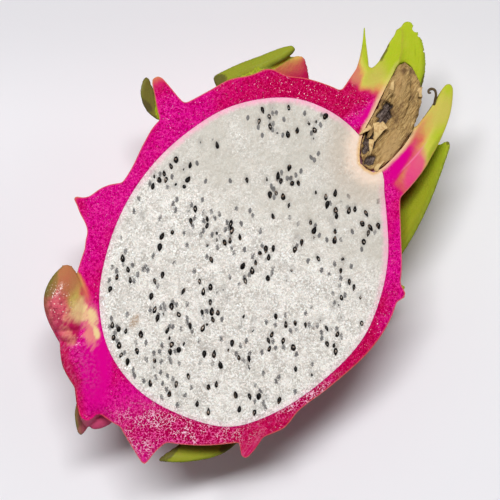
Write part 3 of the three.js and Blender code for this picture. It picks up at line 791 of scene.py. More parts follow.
# %% [markdown]
# ## The pulp
#
# The pulp fills the rind like a mould. The knife leaves its face wet and finely grained, a little
# raised between the seeds and sunk round each one. A displace modifier could lift the grain, but
# it doesn't know where the seeds are. So the face is a fine grid again, and its points are lifted
# and lowered by a few hundredths of a millimetre, in numpy.

# %% Flesh
FLESH_GRID = 0.5
flesh = bowl("flesh_pulp", flesh_reach, FLESH_DEPTH, FLESH_DOME)
boolean(flesh, knife(FLESH_GRID, (-53, -45), (55, 43)), "DIFFERENCE")
boolean(flesh, tube("hollow", FLOWER_HOLLOW), "DIFFERENCE")
outward(flesh)
print("flesh:", len(flesh.data.polygons), "faces", round(time.time() - started, 1), "s")


# %% The wet grain of its face
def blotches(rows, places, length, width, soft):
    """Soft ovals round the places: 1 in the middle and 0 outside."""
    value = np.zeros(len(rows))
    for x, y, turn in places:
        near = np.flatnonzero(np.hypot(rows[:, 0] - x, rows[:, 1] - y) < length * (1 + soft))
        dx, dy = rows[near, 0] - x, rows[near, 1] - y
        a = dx * math.cos(turn) + dy * math.sin(turn)
        b = dy * math.cos(turn) - dx * math.sin(turn)
        reach = np.hypot(a / length, b / width)
        value[near] = np.maximum(value[near], 1 - smoothstep(1 - soft, 1 + soft, reach))
    return value


GRAIN, SUNK = 0.05, 0.16  # the depth of the grain, and of the hollow round a seed
ON_FACE = 0.01  # a point so near to the cut height lies on the face
BRUISES = [(-34, 16.1, 2.2, 1.1, 10), (43.2, -24.4, 1.6, 0.5, 40)]
rows = points_of(flesh)
top = abs(rows[:, 2] - CUT_HEIGHT) < ON_FACE
face_rows = rows[top]
sunk = blotches(face_rows, SEEDS, 1.45, 0.9, 0.5)
deep = blotches(face_rows, DEEP_SEEDS, 0.95, 0.55, 0.6)
edge = np.array([np.hypot(rim[:, 0] - x, rim[:, 1] - y).min() for x, y, _ in face_rows])
grain = np.random.default_rng(3).normal(0, GRAIN, len(face_rows))
lift = 0.06 - SUNK * sunk + grain * smoothstep(0.4, 1.5, edge)
rows[top, 2] += lift
move_points(flesh, rows)
for name, values in (("seed_pit", sunk), ("deep_seed", deep), ("from_rim", edge),
                     ("from_hollow", distances(face_rows, hollow_tree)),
                     ("bruise", soft_ovals(face_rows, BRUISES))):
    whole = np.full(len(rows), 9.0 if name == "from_hollow" else 0.0)
    whole[top] = values
    keep_value(flesh, name, whole)
print(len(face_rows), "points on the cut face", round(time.time() - started, 1), "s")


# %% One seed
HALF_LONG, HALF_WIDE, HALF_THICK = 1.25, 0.7, 0.54


def seed_drop(name):
    """A small ball, stretched along X and narrowed towards one end."""
    ball = new_ball(name, 8, 7)[0]
    x, y, z = points_of(ball).T
    fat = 1.06 - 0.62 * ((z + 1) / 2) ** 2
    move_points(ball, np.stack([z * HALF_LONG, x * HALF_WIDE * fat, y * HALF_THICK * fat], 1))
    outward(ball)
    return ball


# %% Seeds on the cut face
# The glint on top of a seed is a painted highlight in its colour.
PAINTED_GLINT_SIZE = (0.34, 0.34, 0.3)  # of the glint of jelly on top of a seed


def scatter_seeds(name, places, seed):
    """Every seed gets its own size, tilt and depth: some stand proud and some are nearly covered."""
    drop, draw, copies, painted_glints = seed_drop("seed_drop"), stream(seed), [], []
    for x, y, turn in places:
        copy = drop.copy()
        copy.data = drop.data.copy()
        bpy.context.collection.objects.link(copy)
        size = 0.8 + 0.28 * draw()
        rows = points_of(copy) * (size, size * (0.82 + 0.36 * draw()), size)
        tilt = 0.6 * (draw() + draw() - 1)
        flip = turn + 0.5 * (draw() - 0.5) + (math.pi if draw() < 0.35 else 0)
        sunk = 0.5 + 0.06 * draw() if draw() < 0.2 else 0.3 * draw() ** 2
        rows = [rows[:, 0] * math.cos(tilt) - rows[:, 2] * math.sin(tilt), rows[:, 1],
                rows[:, 0] * math.sin(tilt) + rows[:, 2] * math.cos(tilt)]
        spun = [rows[0] * math.cos(flip) - rows[1] * math.sin(flip),
                rows[0] * math.sin(flip) + rows[1] * math.cos(flip), rows[2]]
        rows = np.stack(spun, 1) + (x, y, CUT_HEIGHT + 0.02 - sunk)
        move_points(copy, rows)
        # Painted highlight: a soft pale spot on top of most seeds, stored on their points for the seed's
        # colour.
        painted_glint = np.exp(-(((rows - (x, y, rows[:, 2].max())) / PAINTED_GLINT_SIZE) ** 2).sum(1))
        painted_glints.append(painted_glint * (0.5 + draw() if draw() < 0.62 else 0))
        copies.append(copy)
    bpy.data.objects.remove(drop)
    whole = merge_into_one(name, copies)
    keep_value(whole, "painted_glint", np.concatenate(painted_glints))
    return whole


seeds = scatter_seeds("seeds", SEEDS, 9)
print("seeds:", len(seeds.data.polygons), "faces", round(time.time() - started, 1), "s")

# %% [markdown]
# ## The dry flower
#
# When the flower falls, its tube dries in the crown: brown, ribbed along its length, partly rotted
# into hollows, with papery scraps peeling off. The hollows are sunk and painted dark: darker rotten
# tissue and painted shade. Sculpting by hand would suit it, but couldn't be repeated. So a tube and
# a few withered petals are melted into one body, and then its points are pushed in and out by noise
# that is stretched along the fibres.

# %% Dry flower
FLOWER_REMAINS = [
    (44.2, -13, 1, 1.8), (47, -12.5, 3.5, 4.2), (52, -11.9, 5.3, 6), (58, -11.6, 6, 7.2),
    (65.6, -10, 5.9, 7), (71.7, -8.2, 5, 5.6), (75, -6.2, 3.4, 4), (77, -4.8, 1, 1.6),
]
DRY_PETALS = [
    dict(spine=[(50, -14.6, -2), (57, -15.6, 0.2), (64, -14.8, 1.2), (71.6, -11.6, 1.6)],
         width=4.6, thick=1.8, face=(0, 0.3, 0.95), hold=2.4, cup=0.1),
    dict(spine=[(49, -10.4, -2), (55, -8.4, -0.4), (61.4, -6.8, 0.8), (67.6, -5.2, 1.6)],
         width=4, thick=1.8, face=(0, -0.4, 0.9), hold=2.4, cup=0.12),
    dict(spine=[(56, -12, -2.4), (63, -11, -0.6), (70, -8.6, 1), (76, -5, 1.8)],
         width=4.8, thick=1.8, face=(0, 0.1, 1), hold=2.2, cup=0.1),
]
FLOWER_VOXEL = 0.3
core = tube("flower_core", FLOWER_REMAINS, grown=0.45)
rows = points_of(core)
rows[:, 2] = np.minimum(rows[:, 2], CUT_HEIGHT - 0.5)
move_points(core, rows)
petals = [blade(f"petal_{n}", petal) for n, petal in enumerate(DRY_PETALS)]
flower = merge_into_one("dry_flower", [core, *petals])
modify(flower, "REMESH", mode="VOXEL", voxel_size=FLOWER_VOXEL, adaptivity=0.0, use_smooth_shade=True)
modify(flower, "SMOOTH", factor=0.5, iterations=2)
print("dry flower:", len(flower.data.polygons), "faces")


# %% Ribs and rot
# Rotten hollows and pale shells are rows of x, y, half length and half width, the shells also turned.
ROTTEN = [
    (50.2, -9.2, 4.2, 2), (60.8, -7.4, 3.2, 2), (58.8, -8.6, 2, 1.6), (46.4, -12.4, 2.4, 1.5),
]
PALE_SHELLS = [(53.4, -15, 5.4, 2.4, 12), (70, -6.4, 4, 1.6, 30)]
RIB_HEIGHT, ROT_DEPTH = 0.9, 1.9


def fibre_noise(x, y, z, along, across, seed):
    return noise.noise(Vector((x * along + seed, y * across, z * across)))


rows, facing = points_of(flower), normals_of(flower)
rot = np.zeros(len(rows))
ragged = np.array([noise.noise(Vector((x * 0.5, y * 0.8, 7))) for x, y, z in rows])
for x, y, length, width in ROTTEN:
    reach = np.hypot((rows[:, 0] - x) / length, (rows[:, 1] - y) / width) + 0.9 * ragged
    rot = np.maximum(rot, 1 - smoothstep(0.7, 1.05, reach))
rot *= rows[:, 2] > CUT_HEIGHT - 4
ribs = np.array([
    0.55 * fibre_noise(x, y, z, 0.12, 0.9, 4) + 0.35 * fibre_noise(x, y, z, 0.3, 2.2, 9)
    for x, y, z in rows
])
rows += facing * (ribs * RIB_HEIGHT)[:, None]
rows[:, 2] -= ROT_DEPTH * rot
move_points(flower, rows)
keep_value(flower, "rot", rot)
keep_value(flower, "shell", soft_ovals(rows, PALE_SHELLS, 0.7))
print("dry flower ribbed", round(time.time() - started, 1), "s")

# %% [markdown]
# ## Papery scraps and a curled thread
#
# The skin of the dry flower flakes off in scraps as thin as paper, and one dry stamen curls up
# beside the crown. A plane with a Solidify modifier would do for a scrap, but the blade that makes
# the scales already has rolled margins and a tip, so the same function makes them, only thin.

# %% Papery scraps
PAPER = dict(thick=0.4, tip=0.4, edge=0.4)
SCRAPS = [
    dict(spine=[(57.8, -10, 1.2), (56, -9.4, 1.7), (54, -9.6, 1.5), (51.4, -10.2, 0.9)],
         width=2.6, face=(0.2, 0.1, 1), hold=2.6, cup=0.1, ripple=0.6, edge=0.8),
    dict(spine=[(56.6, -7.2, 0.9), (55.6, -8.2, 1.4), (54, -9, 1.4), (52, -9.4, 0.8)],
         width=2, face=(0.1, 0.2, 1), hold=2, cup=0.12, ripple=0.7, edge=0.6),
    dict(spine=[(51.8, -9.2, 0.8), (50.4, -9.9, 1.3), (49, -10.8, 1.2), (47.4, -11.5, 0.6)],
         width=1.7, face=(0, 0.2, 1), hold=1.6, cup=0.16, ripple=0.5),
    dict(spine=[(55, -6.6, 0.3), (53.4, -6.4, 0.9), (52, -5.8, 1), (50.6, -5.2, 0.6)],
         width=1.3, face=(0.1, 0.3, 1), hold=2.4, cup=0.16, ripple=0.4),
    dict(spine=[(70.4, -13.1, 0.5), (71.6, -12.4, 1.1), (72.6, -12.1, 1.2), (73.6, -12.3, 0.8)],
         width=1.9, face=(0, 0, 1), hold=1.8, cup=0.12, ripple=0.5),
    dict(spine=[(67.4, -5.2, 0.4), (68.4, -4.8, 1), (69.4, -4.3, 1.1), (70.4, -4.1, 0.7)],
         width=1.4, face=(0, 0.2, 1), hold=1.6, cup=0.12, ripple=0.4),
    dict(spine=[(44.6, -15.8, 0.2), (46, -15.4, 0.7), (47.4, -15.6, 0.8), (48.6, -16.2, 0.5)],
         width=1.3, face=(0, 0, 1), hold=3, cup=0.12, ripple=0.3),
]
made = [blade(f"scrap_{n}", dict(PAPER, **scrap), 16, 18) for n, scrap in enumerate(SCRAPS)]
scraps = merge_into_one("papery_scraps", made)
print("scraps:", len(scraps.data.polygons), "faces")

# %% The curled thread
THREAD = [(71, -18.4, -0.6), (72.6, -17.6, 0.8), (73.9, -16.9, 1.7), (74.7, -15.9, 2.1),
          (74.5, -14.9, 2.2), (73.6, -14.4, 2.1), (73, -14.9, 2), (73.5, -15.4, 2)]
STAMEN = dict(spine=THREAD, width=0.8, thick=0.6, face=(0, 0.1, 1), hold=9, taper=0.2, tip=0.5, edge=0.5)
thread = blade("curled_thread", STAMEN, 10, 60)
print("thread:", len(thread.data.polygons), "faces")

# %% [markdown]
# ## Writing materials as sums
#
# A material is a net of nodes, which could be laid out in the shader editor. Written as sums in
# Python it stays short: `Wire` stands for a socket, and adding or multiplying wires adds Math
# nodes. Colours are mixed with Mix nodes, because a Math node would turn them grey.


# %% A small shader language
class Wire:
    """A socket that takes part in sums."""

    def __init__(self, maker, socket):
        self.maker, self.socket = maker, socket

    def sum(self, operation, *values, clamp=False):
        settings = {"operation": operation, "use_clamp": clamp}
        return self.maker.node("ShaderNodeMath", settings, dict(enumerate(values)))

    def __add__(self, other):
        return self.sum("ADD", self, other)

    def __radd__(self, other):
        return self.sum("ADD", other, self)

    def __sub__(self, other):
        return self.sum("SUBTRACT", self, other)

    def __rsub__(self, other):
        return self.sum("SUBTRACT", other, self)

    def __mul__(self, other):
        return self.sum("MULTIPLY", self, other)

    def __rmul__(self, other):
        return self.sum("MULTIPLY", other, self)

    def __abs__(self):
        return self.sum("ABSOLUTE", self)

    def clamped(self):
        return self.sum("ADD", self, 0.0, clamp=True)

    def ramp(self, low, high):
        """0 below `low`, 1 above `high`, and a smooth change between them."""
        settings = {"interpolation_type": "SMOOTHSTEP", "clamp": True}
        return self.maker.node("ShaderNodeMapRange", settings, {0: self, 1: low, 2: high, 3: 0.0, 4: 1.0})


# %% A material that adds its own nodes
class Finish:
    """A material, with one method that adds any node."""

    def __init__(self, name, **fixed):
        self.material = bpy.data.materials.new(name)
        self.material.use_nodes = True
        self.tree = self.material.node_tree
        self.surface = self.tree.nodes["Principled BSDF"]
        for socket, value in fixed.items():
            self.surface.inputs[socket.replace("_", " ")].default_value = value

    def node(self, kind, settings=None, values=None, output=0):
        made = self.tree.nodes.new(kind)
        for key, value in (settings or {}).items():
            setattr(made, key, value)
        for key, value in (values or {}).items():
            if isinstance(key, str):
                socket = next(s for s in made.inputs if s.identifier == key or s.name == key)
            else:
                socket = made.inputs[key]
            if isinstance(value, Wire):
                self.tree.links.new(value.socket, socket)
            else:
                socket.default_value = value
        if isinstance(output, str):
            return Wire(self, next(s for s in made.outputs if s.identifier == output or s.name == output))
        return Wire(self, made.outputs[output])

    def place(self, scale=(1, 1, 1), turn=0.0):
        """Object coordinates in millimetres, stretched and turned about Z if asked."""
        where = self.node("ShaderNodeTexCoord", output="Object")
        values = {"Vector": where, "Scale": tuple(1000 * s for s in scale), "Rotation": (0, 0, turn)}
        return self.node("ShaderNodeMapping", values=values)

    def stored(self, name):
        """A number that the points carry."""
        return self.node("ShaderNodeAttribute", {"attribute_name": name}, output="Fac")

    def clouds(self, where, size, detail=3.0, rough=0.55, twist=0.0):
        """Soft noise round 0.5, whose clouds are about `size` millimetres."""
        return self.node("ShaderNodeTexNoise", {"noise_dimensions": "3D"},
                         {"Vector": where, "Scale": 1 / size, "Detail": detail,
                          "Roughness": rough, "Distortion": twist}, "Fac")

    def cells(self, where, size, feature="F1"):
        """The distance to the middle of the nearest cell, or to its wall."""
        return self.node("ShaderNodeTexVoronoi", {"feature": feature},
                         {"Vector": where, "Scale": 1 / size}, "Distance")

    def mix(self, first, second, share):
        settings = {"data_type": "RGBA", "blend_type": "MIX", "clamp_factor": True}
        return self.node("ShaderNodeMix", settings,
                         {"Factor_Float": share, "A_Color": first, "B_Color": second}, "Result_Color")

    def colours(self, share, *stops):
        """A colour for each share, from stops of (share, colour)."""
        ramp = self.tree.nodes.new("ShaderNodeValToRGB")
        bar = ramp.color_ramp
        while len(bar.elements) < len(stops):
            bar.elements.new(0.5)
        for element, (at, colour) in zip(bar.elements, stops):
            element.position = at
            element.color = colour
        self.tree.links.new(share.socket, ramp.inputs[0])
        return Wire(self, ramp.outputs[0])

    def bump(self, height, distance, strength=1.0, under=None):
        values = {"Strength": strength, "Distance": distance * 0.001, "Height": height}
        if under is not None:
            values["Normal"] = under
        return self.node("ShaderNodeBump", values=values)

    def set(self, **sockets):
        for name, value in sockets.items():
            socket = self.surface.inputs[name.replace("_", " ")]
            self.tree.links.new(value.socket, socket)

    def cover(self, piece):
        """The piece gets this material and no other."""
        piece.data.materials.clear()
        piece.data.materials.append(self.material)
        print(self.material.name, "has", len(self.tree.nodes), "nodes and covers", piece.name)


# %% Colours as a picker shows them
def paint(*picked):
    """Red, green and blue from 0 to 255, as the light that Blender reckons with."""
    shares = [value / 255 for value in picked]
    light = [v / 12.92 if v <= 0.04045 else ((v + 0.055) / 1.055) ** 2.4 for v in shares]
    return (*light, 1.0)


print("magenta as light:", [round(v, 3) for v in paint(216, 4, 136)])


# %% [markdown]
# ## The rind's finish
#
# A cut rind is wet, crimson to magenta, and full of tiny cells that catch the light. Towards the
# flesh it pales, and right under the skin runs a thin orange line. In a scale the magenta passes
# through coral and yellow into green. The skin outside is waxy, with fine lines along each scale.
#
# An image wrapped round the mesh would need seams and would blur close up. Here each colour is laid
# over the one before, where a stored value passes a limit, and noise in millimetres makes the limit
# ragged. That stays sharp at any distance, and one layer can be changed without the others.

# %% Rind finish: what it reads
f = Finish("fresh_rind", Subsurface_Weight=0.08, Subsurface_Radius=(1.0, 0.2, 0.35),
           Subsurface_Scale=0.001, IOR=1.33, Specular_IOR_Level=0.0, Coat_Roughness=0.16, Coat_IOR=1.4)
where = f.place()
skin, beside_flesh = f.stored("under_skin"), f.stored("from_flesh")
beside_hollow, cut_here = f.stored("from_hollow"), f.stored("on_cut").ramp(0.15, 0.85)
young, along, sideways = f.stored("green"), f.stored("along"), f.stored("aside")
smooth_here, coarse_here = f.stored("smooth_patch"), f.stored("coarse_patch")
broad, middling, fine = f.clouds(where, 14), f.clouds(where, 3.2, 4), f.clouds(where, 0.7, 3)
print("rind finish reads its values,", len(f.tree.nodes), "nodes")

# %% Rind finish: the scales, magenta to green
lines = f.node("ShaderNodeCombineXYZ", values={"X": along * 2.2, "Y": sideways * 9.0, "Z": broad * 2})
streaks = f.clouds(lines, 0.7, 4, 0.6)
greenness = (young + (middling - 0.5) * 0.22 + (streaks - 0.5) * 0.2 * young.ramp(0, 0.2)).clamped()
scale_colour = f.colours(
    greenness,
    (0.0, paint(200, 6, 92)),
    (0.14, paint(208, 40, 96)),
    (0.3, paint(212, 106, 90)),
    (0.44, paint(220, 160, 92)),
    (0.66, paint(208, 200, 88)),
    (1.0, paint(176, 192, 42)),
)
dull_green = f.mix(paint(94, 80, 50), paint(124, 114, 56), middling)
scale_colour = f.mix(scale_colour, dull_green, f.stored("dull"))
yellow = (f.stored("yellow_patch") + (middling - 0.5) * 0.9).ramp(0.15, 1.1)
scale_colour = f.mix(scale_colour, paint(200, 186, 90), yellow * 0.9)
olive = (f.stored("olive_patch") + (fine - 0.5) * 0.6).ramp(0.2, 0.9)
scale_colour = f.mix(scale_colour, paint(118, 112, 56), olive * 0.8)
brown = (f.stored("brown_patch") + (middling - 0.5) * 0.6).ramp(0.2, 1)
scale_colour = f.mix(scale_colour, paint(178, 108, 78), brown * (1 - olive * 0.8) * 0.85)
rosy = (f.stored("rosy_patch") + (middling - 0.5) * 1.2).ramp(0.1, 1)
rose = f.mix(paint(224, 104, 122), paint(176, 62, 84), f.clouds(where, 1.9, 4).ramp(0.4, 0.6))
scale_colour = f.mix(scale_colour, rose, rosy * (1 - olive * 0.8) * 0.8)
print("with the scales,", len(f.tree.nodes), "nodes")

# %% Rind finish: the cut body and its grain
pink_here, deep_here = f.stored("pink_patch"), f.stored("crimson_patch")
crimson = f.mix(paint(206, 4, 98), paint(190, 2, 72), (middling + deep_here * 0.5).ramp(0.45, 0.8))
magenta_here = (broad + smooth_here * 0.5 + pink_here * 0.3 - deep_here * 0.2).ramp(0.46, 0.78)
body_colour = f.mix(crimson, paint(216, 4, 136), magenta_here)
specks, grit = f.cells(where, 0.56), f.clouds(where, 0.6, 3, 0.7, 0.8)
walls = f.cells(where, 0.95, feature="DISTANCE_TO_EDGE")
glints, spread = f.clouds(where, 0.5, 2, 0.6), f.clouds(where, 6, 3).ramp(0.36, 0.6)
calm = (1 - smooth_here) * (1 - young.ramp(0.05, 0.3))
dots = (1 - specks.ramp(0.22, 0.36)) * fine.ramp(0.32, 0.48)
net = (1 - walls.ramp(0.05, 0.1)) * fine.ramp(0.42, 0.54)
grained = (dots * 0.9 + net * 0.9).clamped()
coarse = coarse_here * calm
sparkle = glints.ramp(0.62, 0.69) * f.clouds(where, 1.6, 2).ramp(0.44, 0.56) * calm
body_colour = f.mix(body_colour, paint(150, 0, 62), grit.ramp(0.51, 0.6) * calm * 0.75)
lighter = (1 - grit.ramp(0.39, 0.48)) * calm * (0.26 + 0.24 * pink_here)
body_colour = f.mix(body_colour, paint(246, 74, 166), lighter)
body_colour = f.mix(body_colour, paint(160, 0, 62), specks.ramp(0.3, 0.44) * coarse * 0.9)
# A pale pink network of cells in the coarse zone; its whitest end is a painted highlight.
pale_grain_and_glint = f.mix(paint(244, 96, 168), paint(255, 214, 234), middling.ramp(0.42, 0.58))
body_colour = f.mix(body_colour, pale_grain_and_glint, grained * coarse * 0.9)
lit = (0.3 + 0.3 * spread + 0.4 * deep_here) * (1 - coarse_here)
# Painted highlights: pale pink and white glints of the wet cells, laid into the colour where sparkle and
# lit allow.
painted_glint_colour = f.mix(paint(255, 96, 160), paint(255, 206, 226), (spread * 0.5 + deep_here * 0.6).clamped())
body_colour = f.mix(body_colour, painted_glint_colour, (sparkle * lit).clamped())
print("with the grain,", len(f.tree.nodes), "nodes")

# %% Rind finish: patches and lines on the cut face
flesh_side = f.mix(body_colour, scale_colour, (young.ramp(0.02, 0.3) + rosy * 0.7).clamped())
rose_cut = (f.stored("rose_cut_patch") + (middling - 0.5) * 0.6).ramp(0.2, 0.9)
flesh_side = f.mix(flesh_side, paint(228, 52, 134), rose_cut * 0.85)
leafy = (f.stored("leaf_green_patch") + (middling - 0.5) * 0.6).ramp(0.2, 0.9)
flesh_side = f.mix(flesh_side, paint(158, 166, 50), leafy * 0.85)
coral = (f.stored("coral_patch") + (middling - 0.5) * 0.6).ramp(0.2, 0.9)
flesh_side = f.mix(flesh_side, paint(210, 132, 104), coral * 0.8 * (1 - young.ramp(0.3, 0.6)))
vein = abs(f.stored("vein") + 0.9)
# A painted highlight: a pale pink line along the ridge of the vein.
painted_vein_highlight = (1 - vein.ramp(0.12, 0.34)) * along.ramp(0.02, 0.2) * (1 - along.ramp(0.26, 0.46))
flesh_side = f.mix(flesh_side, paint(240, 130, 170), painted_vein_highlight * 0.6)
flesh_side = f.mix(flesh_side, paint(166, 14, 104), (1 - beside_flesh.ramp(0.02, 0.5)) * calm * 0.6)
cream = (1 - (beside_hollow + (middling - 0.5)).ramp(0.15, 1.5)) * 0.8
flesh_side = f.mix(flesh_side, paint(238, 208, 158), cream * (1 - young.ramp(0.3, 0.7) * 0.7))
fibre = f.clouds(f.place(scale=(0.25, 1, 0.6), turn=math.radians(38)), 0.8, 4)
cream_here = f.stored("cream_patch") + (middling - 0.5) * 0.8 + (fibre - 0.5) * 0.7
cream_here = cream_here.ramp(0.1, 1.1)
peach = (f.stored("peach_patch") + (fibre - 0.5) * 1.6 + (middling - 0.5) * 0.6).ramp(0.35, 1.1)
flesh_side = f.mix(flesh_side, paint(232, 150, 128), peach * 0.75)
cream_colour = f.mix(paint(222, 130, 134), paint(236, 206, 150), cream_here.ramp(0.3, 0.95))
flesh_side = f.mix(flesh_side, cream_colour, cream_here * beside_flesh.ramp(0.2, 1.1))
skin_line = 1 - (skin + (fine - 0.5) * 0.3).ramp(0.1, 0.45)
skin_tint = f.mix(paint(222, 118, 96), paint(170, 160, 60), young)
flesh_side = f.mix(flesh_side, skin_tint, skin_line * 0.6)
print("with the patches,", len(f.tree.nodes), "nodes")

# %% Rind finish: the skin outside
bark = f.mix(paint(170, 18, 72), paint(196, 34, 92), broad)
coloured = (young.ramp(0.02, 0.4) + yellow + olive + brown + rosy).clamped()
skin_colour = f.mix(bark, scale_colour, coloured)
# Painted light: the underside of a scale under the rim is pink of its own, and lighter pink is laid on it
# against its shade.
lifted_underside = (f.stored("shaded_pink_patch") + (middling - 0.5) * 0.8).ramp(0.2, 0.9)
skin_colour = f.mix(skin_colour, paint(214, 92, 132), lifted_underside * 0.7)
margin = abs(sideways).ramp(0.7, 1.02)
skin_colour = f.mix(skin_colour, paint(96, 108, 40), margin * young.ramp(0.02, 0.3) * 0.55)
rough_lines = streaks.ramp(0.52, 0.78) * young.ramp(0.2, 0.8)
skin_colour = f.mix(skin_colour, paint(112, 122, 28), rough_lines * 0.45)
skin_colour = f.mix(skin_colour, paint(232, 150, 128), peach * 0.75)
skin_colour = f.mix(skin_colour, paint(236, 204, 146), cream_here * 0.9)
# Painted highlights: pale dots on the wet patch of the whole scale stand for its sparkle.
painted_sparkle = (1 - f.cells(where, 0.95).ramp(0.14, 0.3)) * f.clouds(where, 2.2, 2).ramp(0.42, 0.54)
skin_colour = f.mix(skin_colour, paint(250, 216, 200), painted_sparkle * f.stored("wet_patch") * 0.85)
print("with the skin,", len(f.tree.nodes), "nodes")

# %% Rind finish: cut face and skin together, with gloss and relief
stripes = f.clouds(f.place(scale=(0.16, 1, 0.6), turn=math.radians(-52)), 0.5, 4)
striped = f.stored("striped_patch") * (1 - skin.ramp(1.4, 3.2))
everywhere = f.mix(skin_colour, flesh_side, cut_here)
everywhere = f.mix(everywhere, f.mix(paint(218, 92, 138), paint(190, 16, 80), stripes.ramp(0.3, 0.6)),
                   striped * 0.6)
# Darker brown-olive on some bract edges and scale ends, and painted shade on the skin under the rim and
# under scales.
below = f.stored("dark_below_patch") * (1 - cut_here)
dark_edges_and_shade = (f.stored("dark_patch") + below + (fine - 0.5) * 0.8).ramp(0.3, 0.9)
everywhere = f.mix(everywhere, paint(84, 74, 48), dark_edges_and_shade * 0.75)
f.set(Base_Color=everywhere)
f.set(Roughness=0.44 - 0.18 * cut_here + (fine - 0.5) * 0.25)
gloss = (grained * coarse * 0.5 + sparkle * lit).clamped()
wet_here = f.stored("wet_patch") * f.clouds(where, 0.8, 2).ramp(0.45, 0.6)
base_coat = 0.2 * (1 - coloured * 0.8)
f.set(Coat_Weight=(base_coat + (gloss - base_coat) * cut_here + wet_here * 0.8).clamped())
grains = f.bump(specks * (1 - smooth_here), 0.12, 0.7)
soft = f.bump(middling, 0.12, 0.5, under=grains)
beads = f.clouds(where, 1.0, 2) * f.stored("wet_patch")
wet = f.bump(beads, 0.9, 1.0, under=soft)
f.set(Normal=f.bump(streaks * young, 0.12, 0.6, under=wet))
f.cover(rind)

# %% [markdown]
# ## The flesh's finish
#
# The pulp is nearly white and lets light in, so it needs subsurface scattering. Its wet grain
# glitters, seeds deeper down show as grey shadows, and it turns pink where the rind's colour bleeds
# in. Near the crown a cream core takes over. Clear grains could be modelled one by one, but there
# are thousands of them, so noise, cells and a coat that shines in spots stand for them. Their
# glitter is also painted into the colour as white highlights.

# %% Flesh finish: the pulp
f = Finish("wet_flesh", Subsurface_Weight=0.3, Subsurface_Radius=(1.0, 0.8, 0.7),
           Subsurface_Scale=0.001, IOR=1.36, Specular_IOR_Level=0.25, Coat_Roughness=0.12)
where = f.place()
pit, below, rim_gap = f.stored("seed_pit"), f.stored("deep_seed"), f.stored("from_rim")
broad, middling, fine = f.clouds(where, 9), f.clouds(where, 2.2, 4), f.clouds(where, 0.5, 3)
forward = f.node("ShaderNodeVectorMath", {"operation": "DOT_PRODUCT"},
                 {0: where, 1: (1.1, 0.18, 0)}, "Value")
quiet = (forward.ramp(0, 26) * 0.9 + (broad - 0.5) * 1.5).clamped()
lively = 1 - quiet * 0.8
pulp = f.mix(paint(240, 235, 228), paint(216, 210, 202), middling.ramp(0.38, 0.68) * 0.85)
pulp = f.mix(pulp, paint(186, 180, 167), quiet * 0.75)
print("flesh finish starts with", len(f.tree.nodes), "nodes")

# %% Flesh finish: glitter and sparkle at the rim, painted as white highlights
sparks = f.cells(where, 0.66)
patchy = f.clouds(where, 3.4, 3).ramp(0.4, 0.6)
pulp = f.mix(pulp, paint(150, 142, 132), sparks.ramp(0.4, 0.66) * (0.1 + 0.5 * patchy) * lively)
glitter = (1 - sparks.ramp(0.1, 0.32)) * (0.2 + 0.8 * patchy) * lively
rim_sparkle_zone = (1 - rim_gap.ramp(1, 6)) * (1 - forward.ramp(-30, 0))
rim_sparkle = (1 - f.cells(where, 0.95).ramp(0.16, 0.36)) * rim_sparkle_zone
# Painted highlights: white specks of glitter, and more near the left rim, laid into the colour; the same
# masks also set the coat.
pulp = f.mix(pulp, paint(255, 255, 255), (glitter * 0.9 + rim_sparkle * 0.8).clamped())
pulp = f.mix(pulp, paint(154, 146, 136), fine.ramp(0.55, 0.72) * 0.7 * lively)
waves = abs(f.clouds(where, 1.7, 2, 0.6, 1.6) - 0.5)
# Painted highlights: bright wavy lines where the wet pulp catches the light.
pulp = f.mix(pulp, paint(255, 253, 248), (1 - waves.ramp(0.008, 0.036)) * 0.8 * lively)
pulp = f.mix(pulp, paint(190, 184, 178), waves.ramp(0.06, 0.12) * 0.5 * lively)
print("with the glitter,", len(f.tree.nodes), "nodes")

# %% Flesh finish: deep seeds, blush, core and gloss
crumbs = f.clouds(where, 0.3, 2)
shadow = (below + (crumbs - 0.5) * 2.2 * lively).ramp(0.42, 0.7) * below.ramp(0.05, 0.3)
pulp = f.mix(pulp, paint(64, 62, 66), shadow * f.clouds(where, 4).ramp(0.28, 0.5) * 0.85)
pulp = f.mix(pulp, paint(150, 146, 142), pit * 0.35)
blush = 1 - (rim_gap + (middling - 0.5) * 1.6).ramp(0.1, 2.4)
pulp = f.mix(pulp, paint(250, 168, 198), (blush * (0.2 + 0.7 * forward.ramp(-10, 40))).clamped())
pulp = f.mix(pulp, paint(250, 150, 202), (1 - rim_gap.ramp(0.1, 0.5)) * 0.8)
core = f.stored("from_hollow")
around = core + (middling - 0.5) * 4
pulp = f.mix(pulp, paint(194, 178, 160), (1 - around.ramp(5, 14)) * 0.6)
pulp = f.mix(pulp, paint(238, 214, 194), (1 - around.ramp(1.4, 6.4)) * 0.85)
pulp = f.mix(pulp, paint(222, 176, 108), (1 - (core + (fine - 0.5) * 0.8).ramp(0.3, 1.3)) * 0.85)
pulp = f.mix(pulp, paint(172, 138, 104), f.stored("bruise") * fine.ramp(0.3, 0.6) * 0.8)
f.set(Base_Color=pulp)
f.set(Roughness=0.36 + (fine - 0.5) * 0.4)
f.set(Coat_Weight=(glitter * 0.6 + rim_sparkle * 0.8 + fine.ramp(0.5, 0.7) * 0.25 * lively).clamped())
grain = f.bump(sparks * lively, 0.16, 0.9)
f.set(Normal=f.bump(middling, 0.3, 0.4, under=f.bump(fine * lively, 0.16, 0.9, under=grain)))
f.cover(flesh)

# %% [markdown]
# ## Finishes of the seeds and the dry flower
#
# A seed's coat is nearly black and glossy. A pale glint on top of many seeds is a painted highlight,
# drawn into the colour from a stored value, because a reflection alone would be smaller than a
# pixel. Pale brown spots on the coat are painted glints too.
# The dry flower is matt, and its colour runs in fibres: noise is stretched along X, as the ribs
# are. The scraps are the palest tissue, and the thread is the darkest.

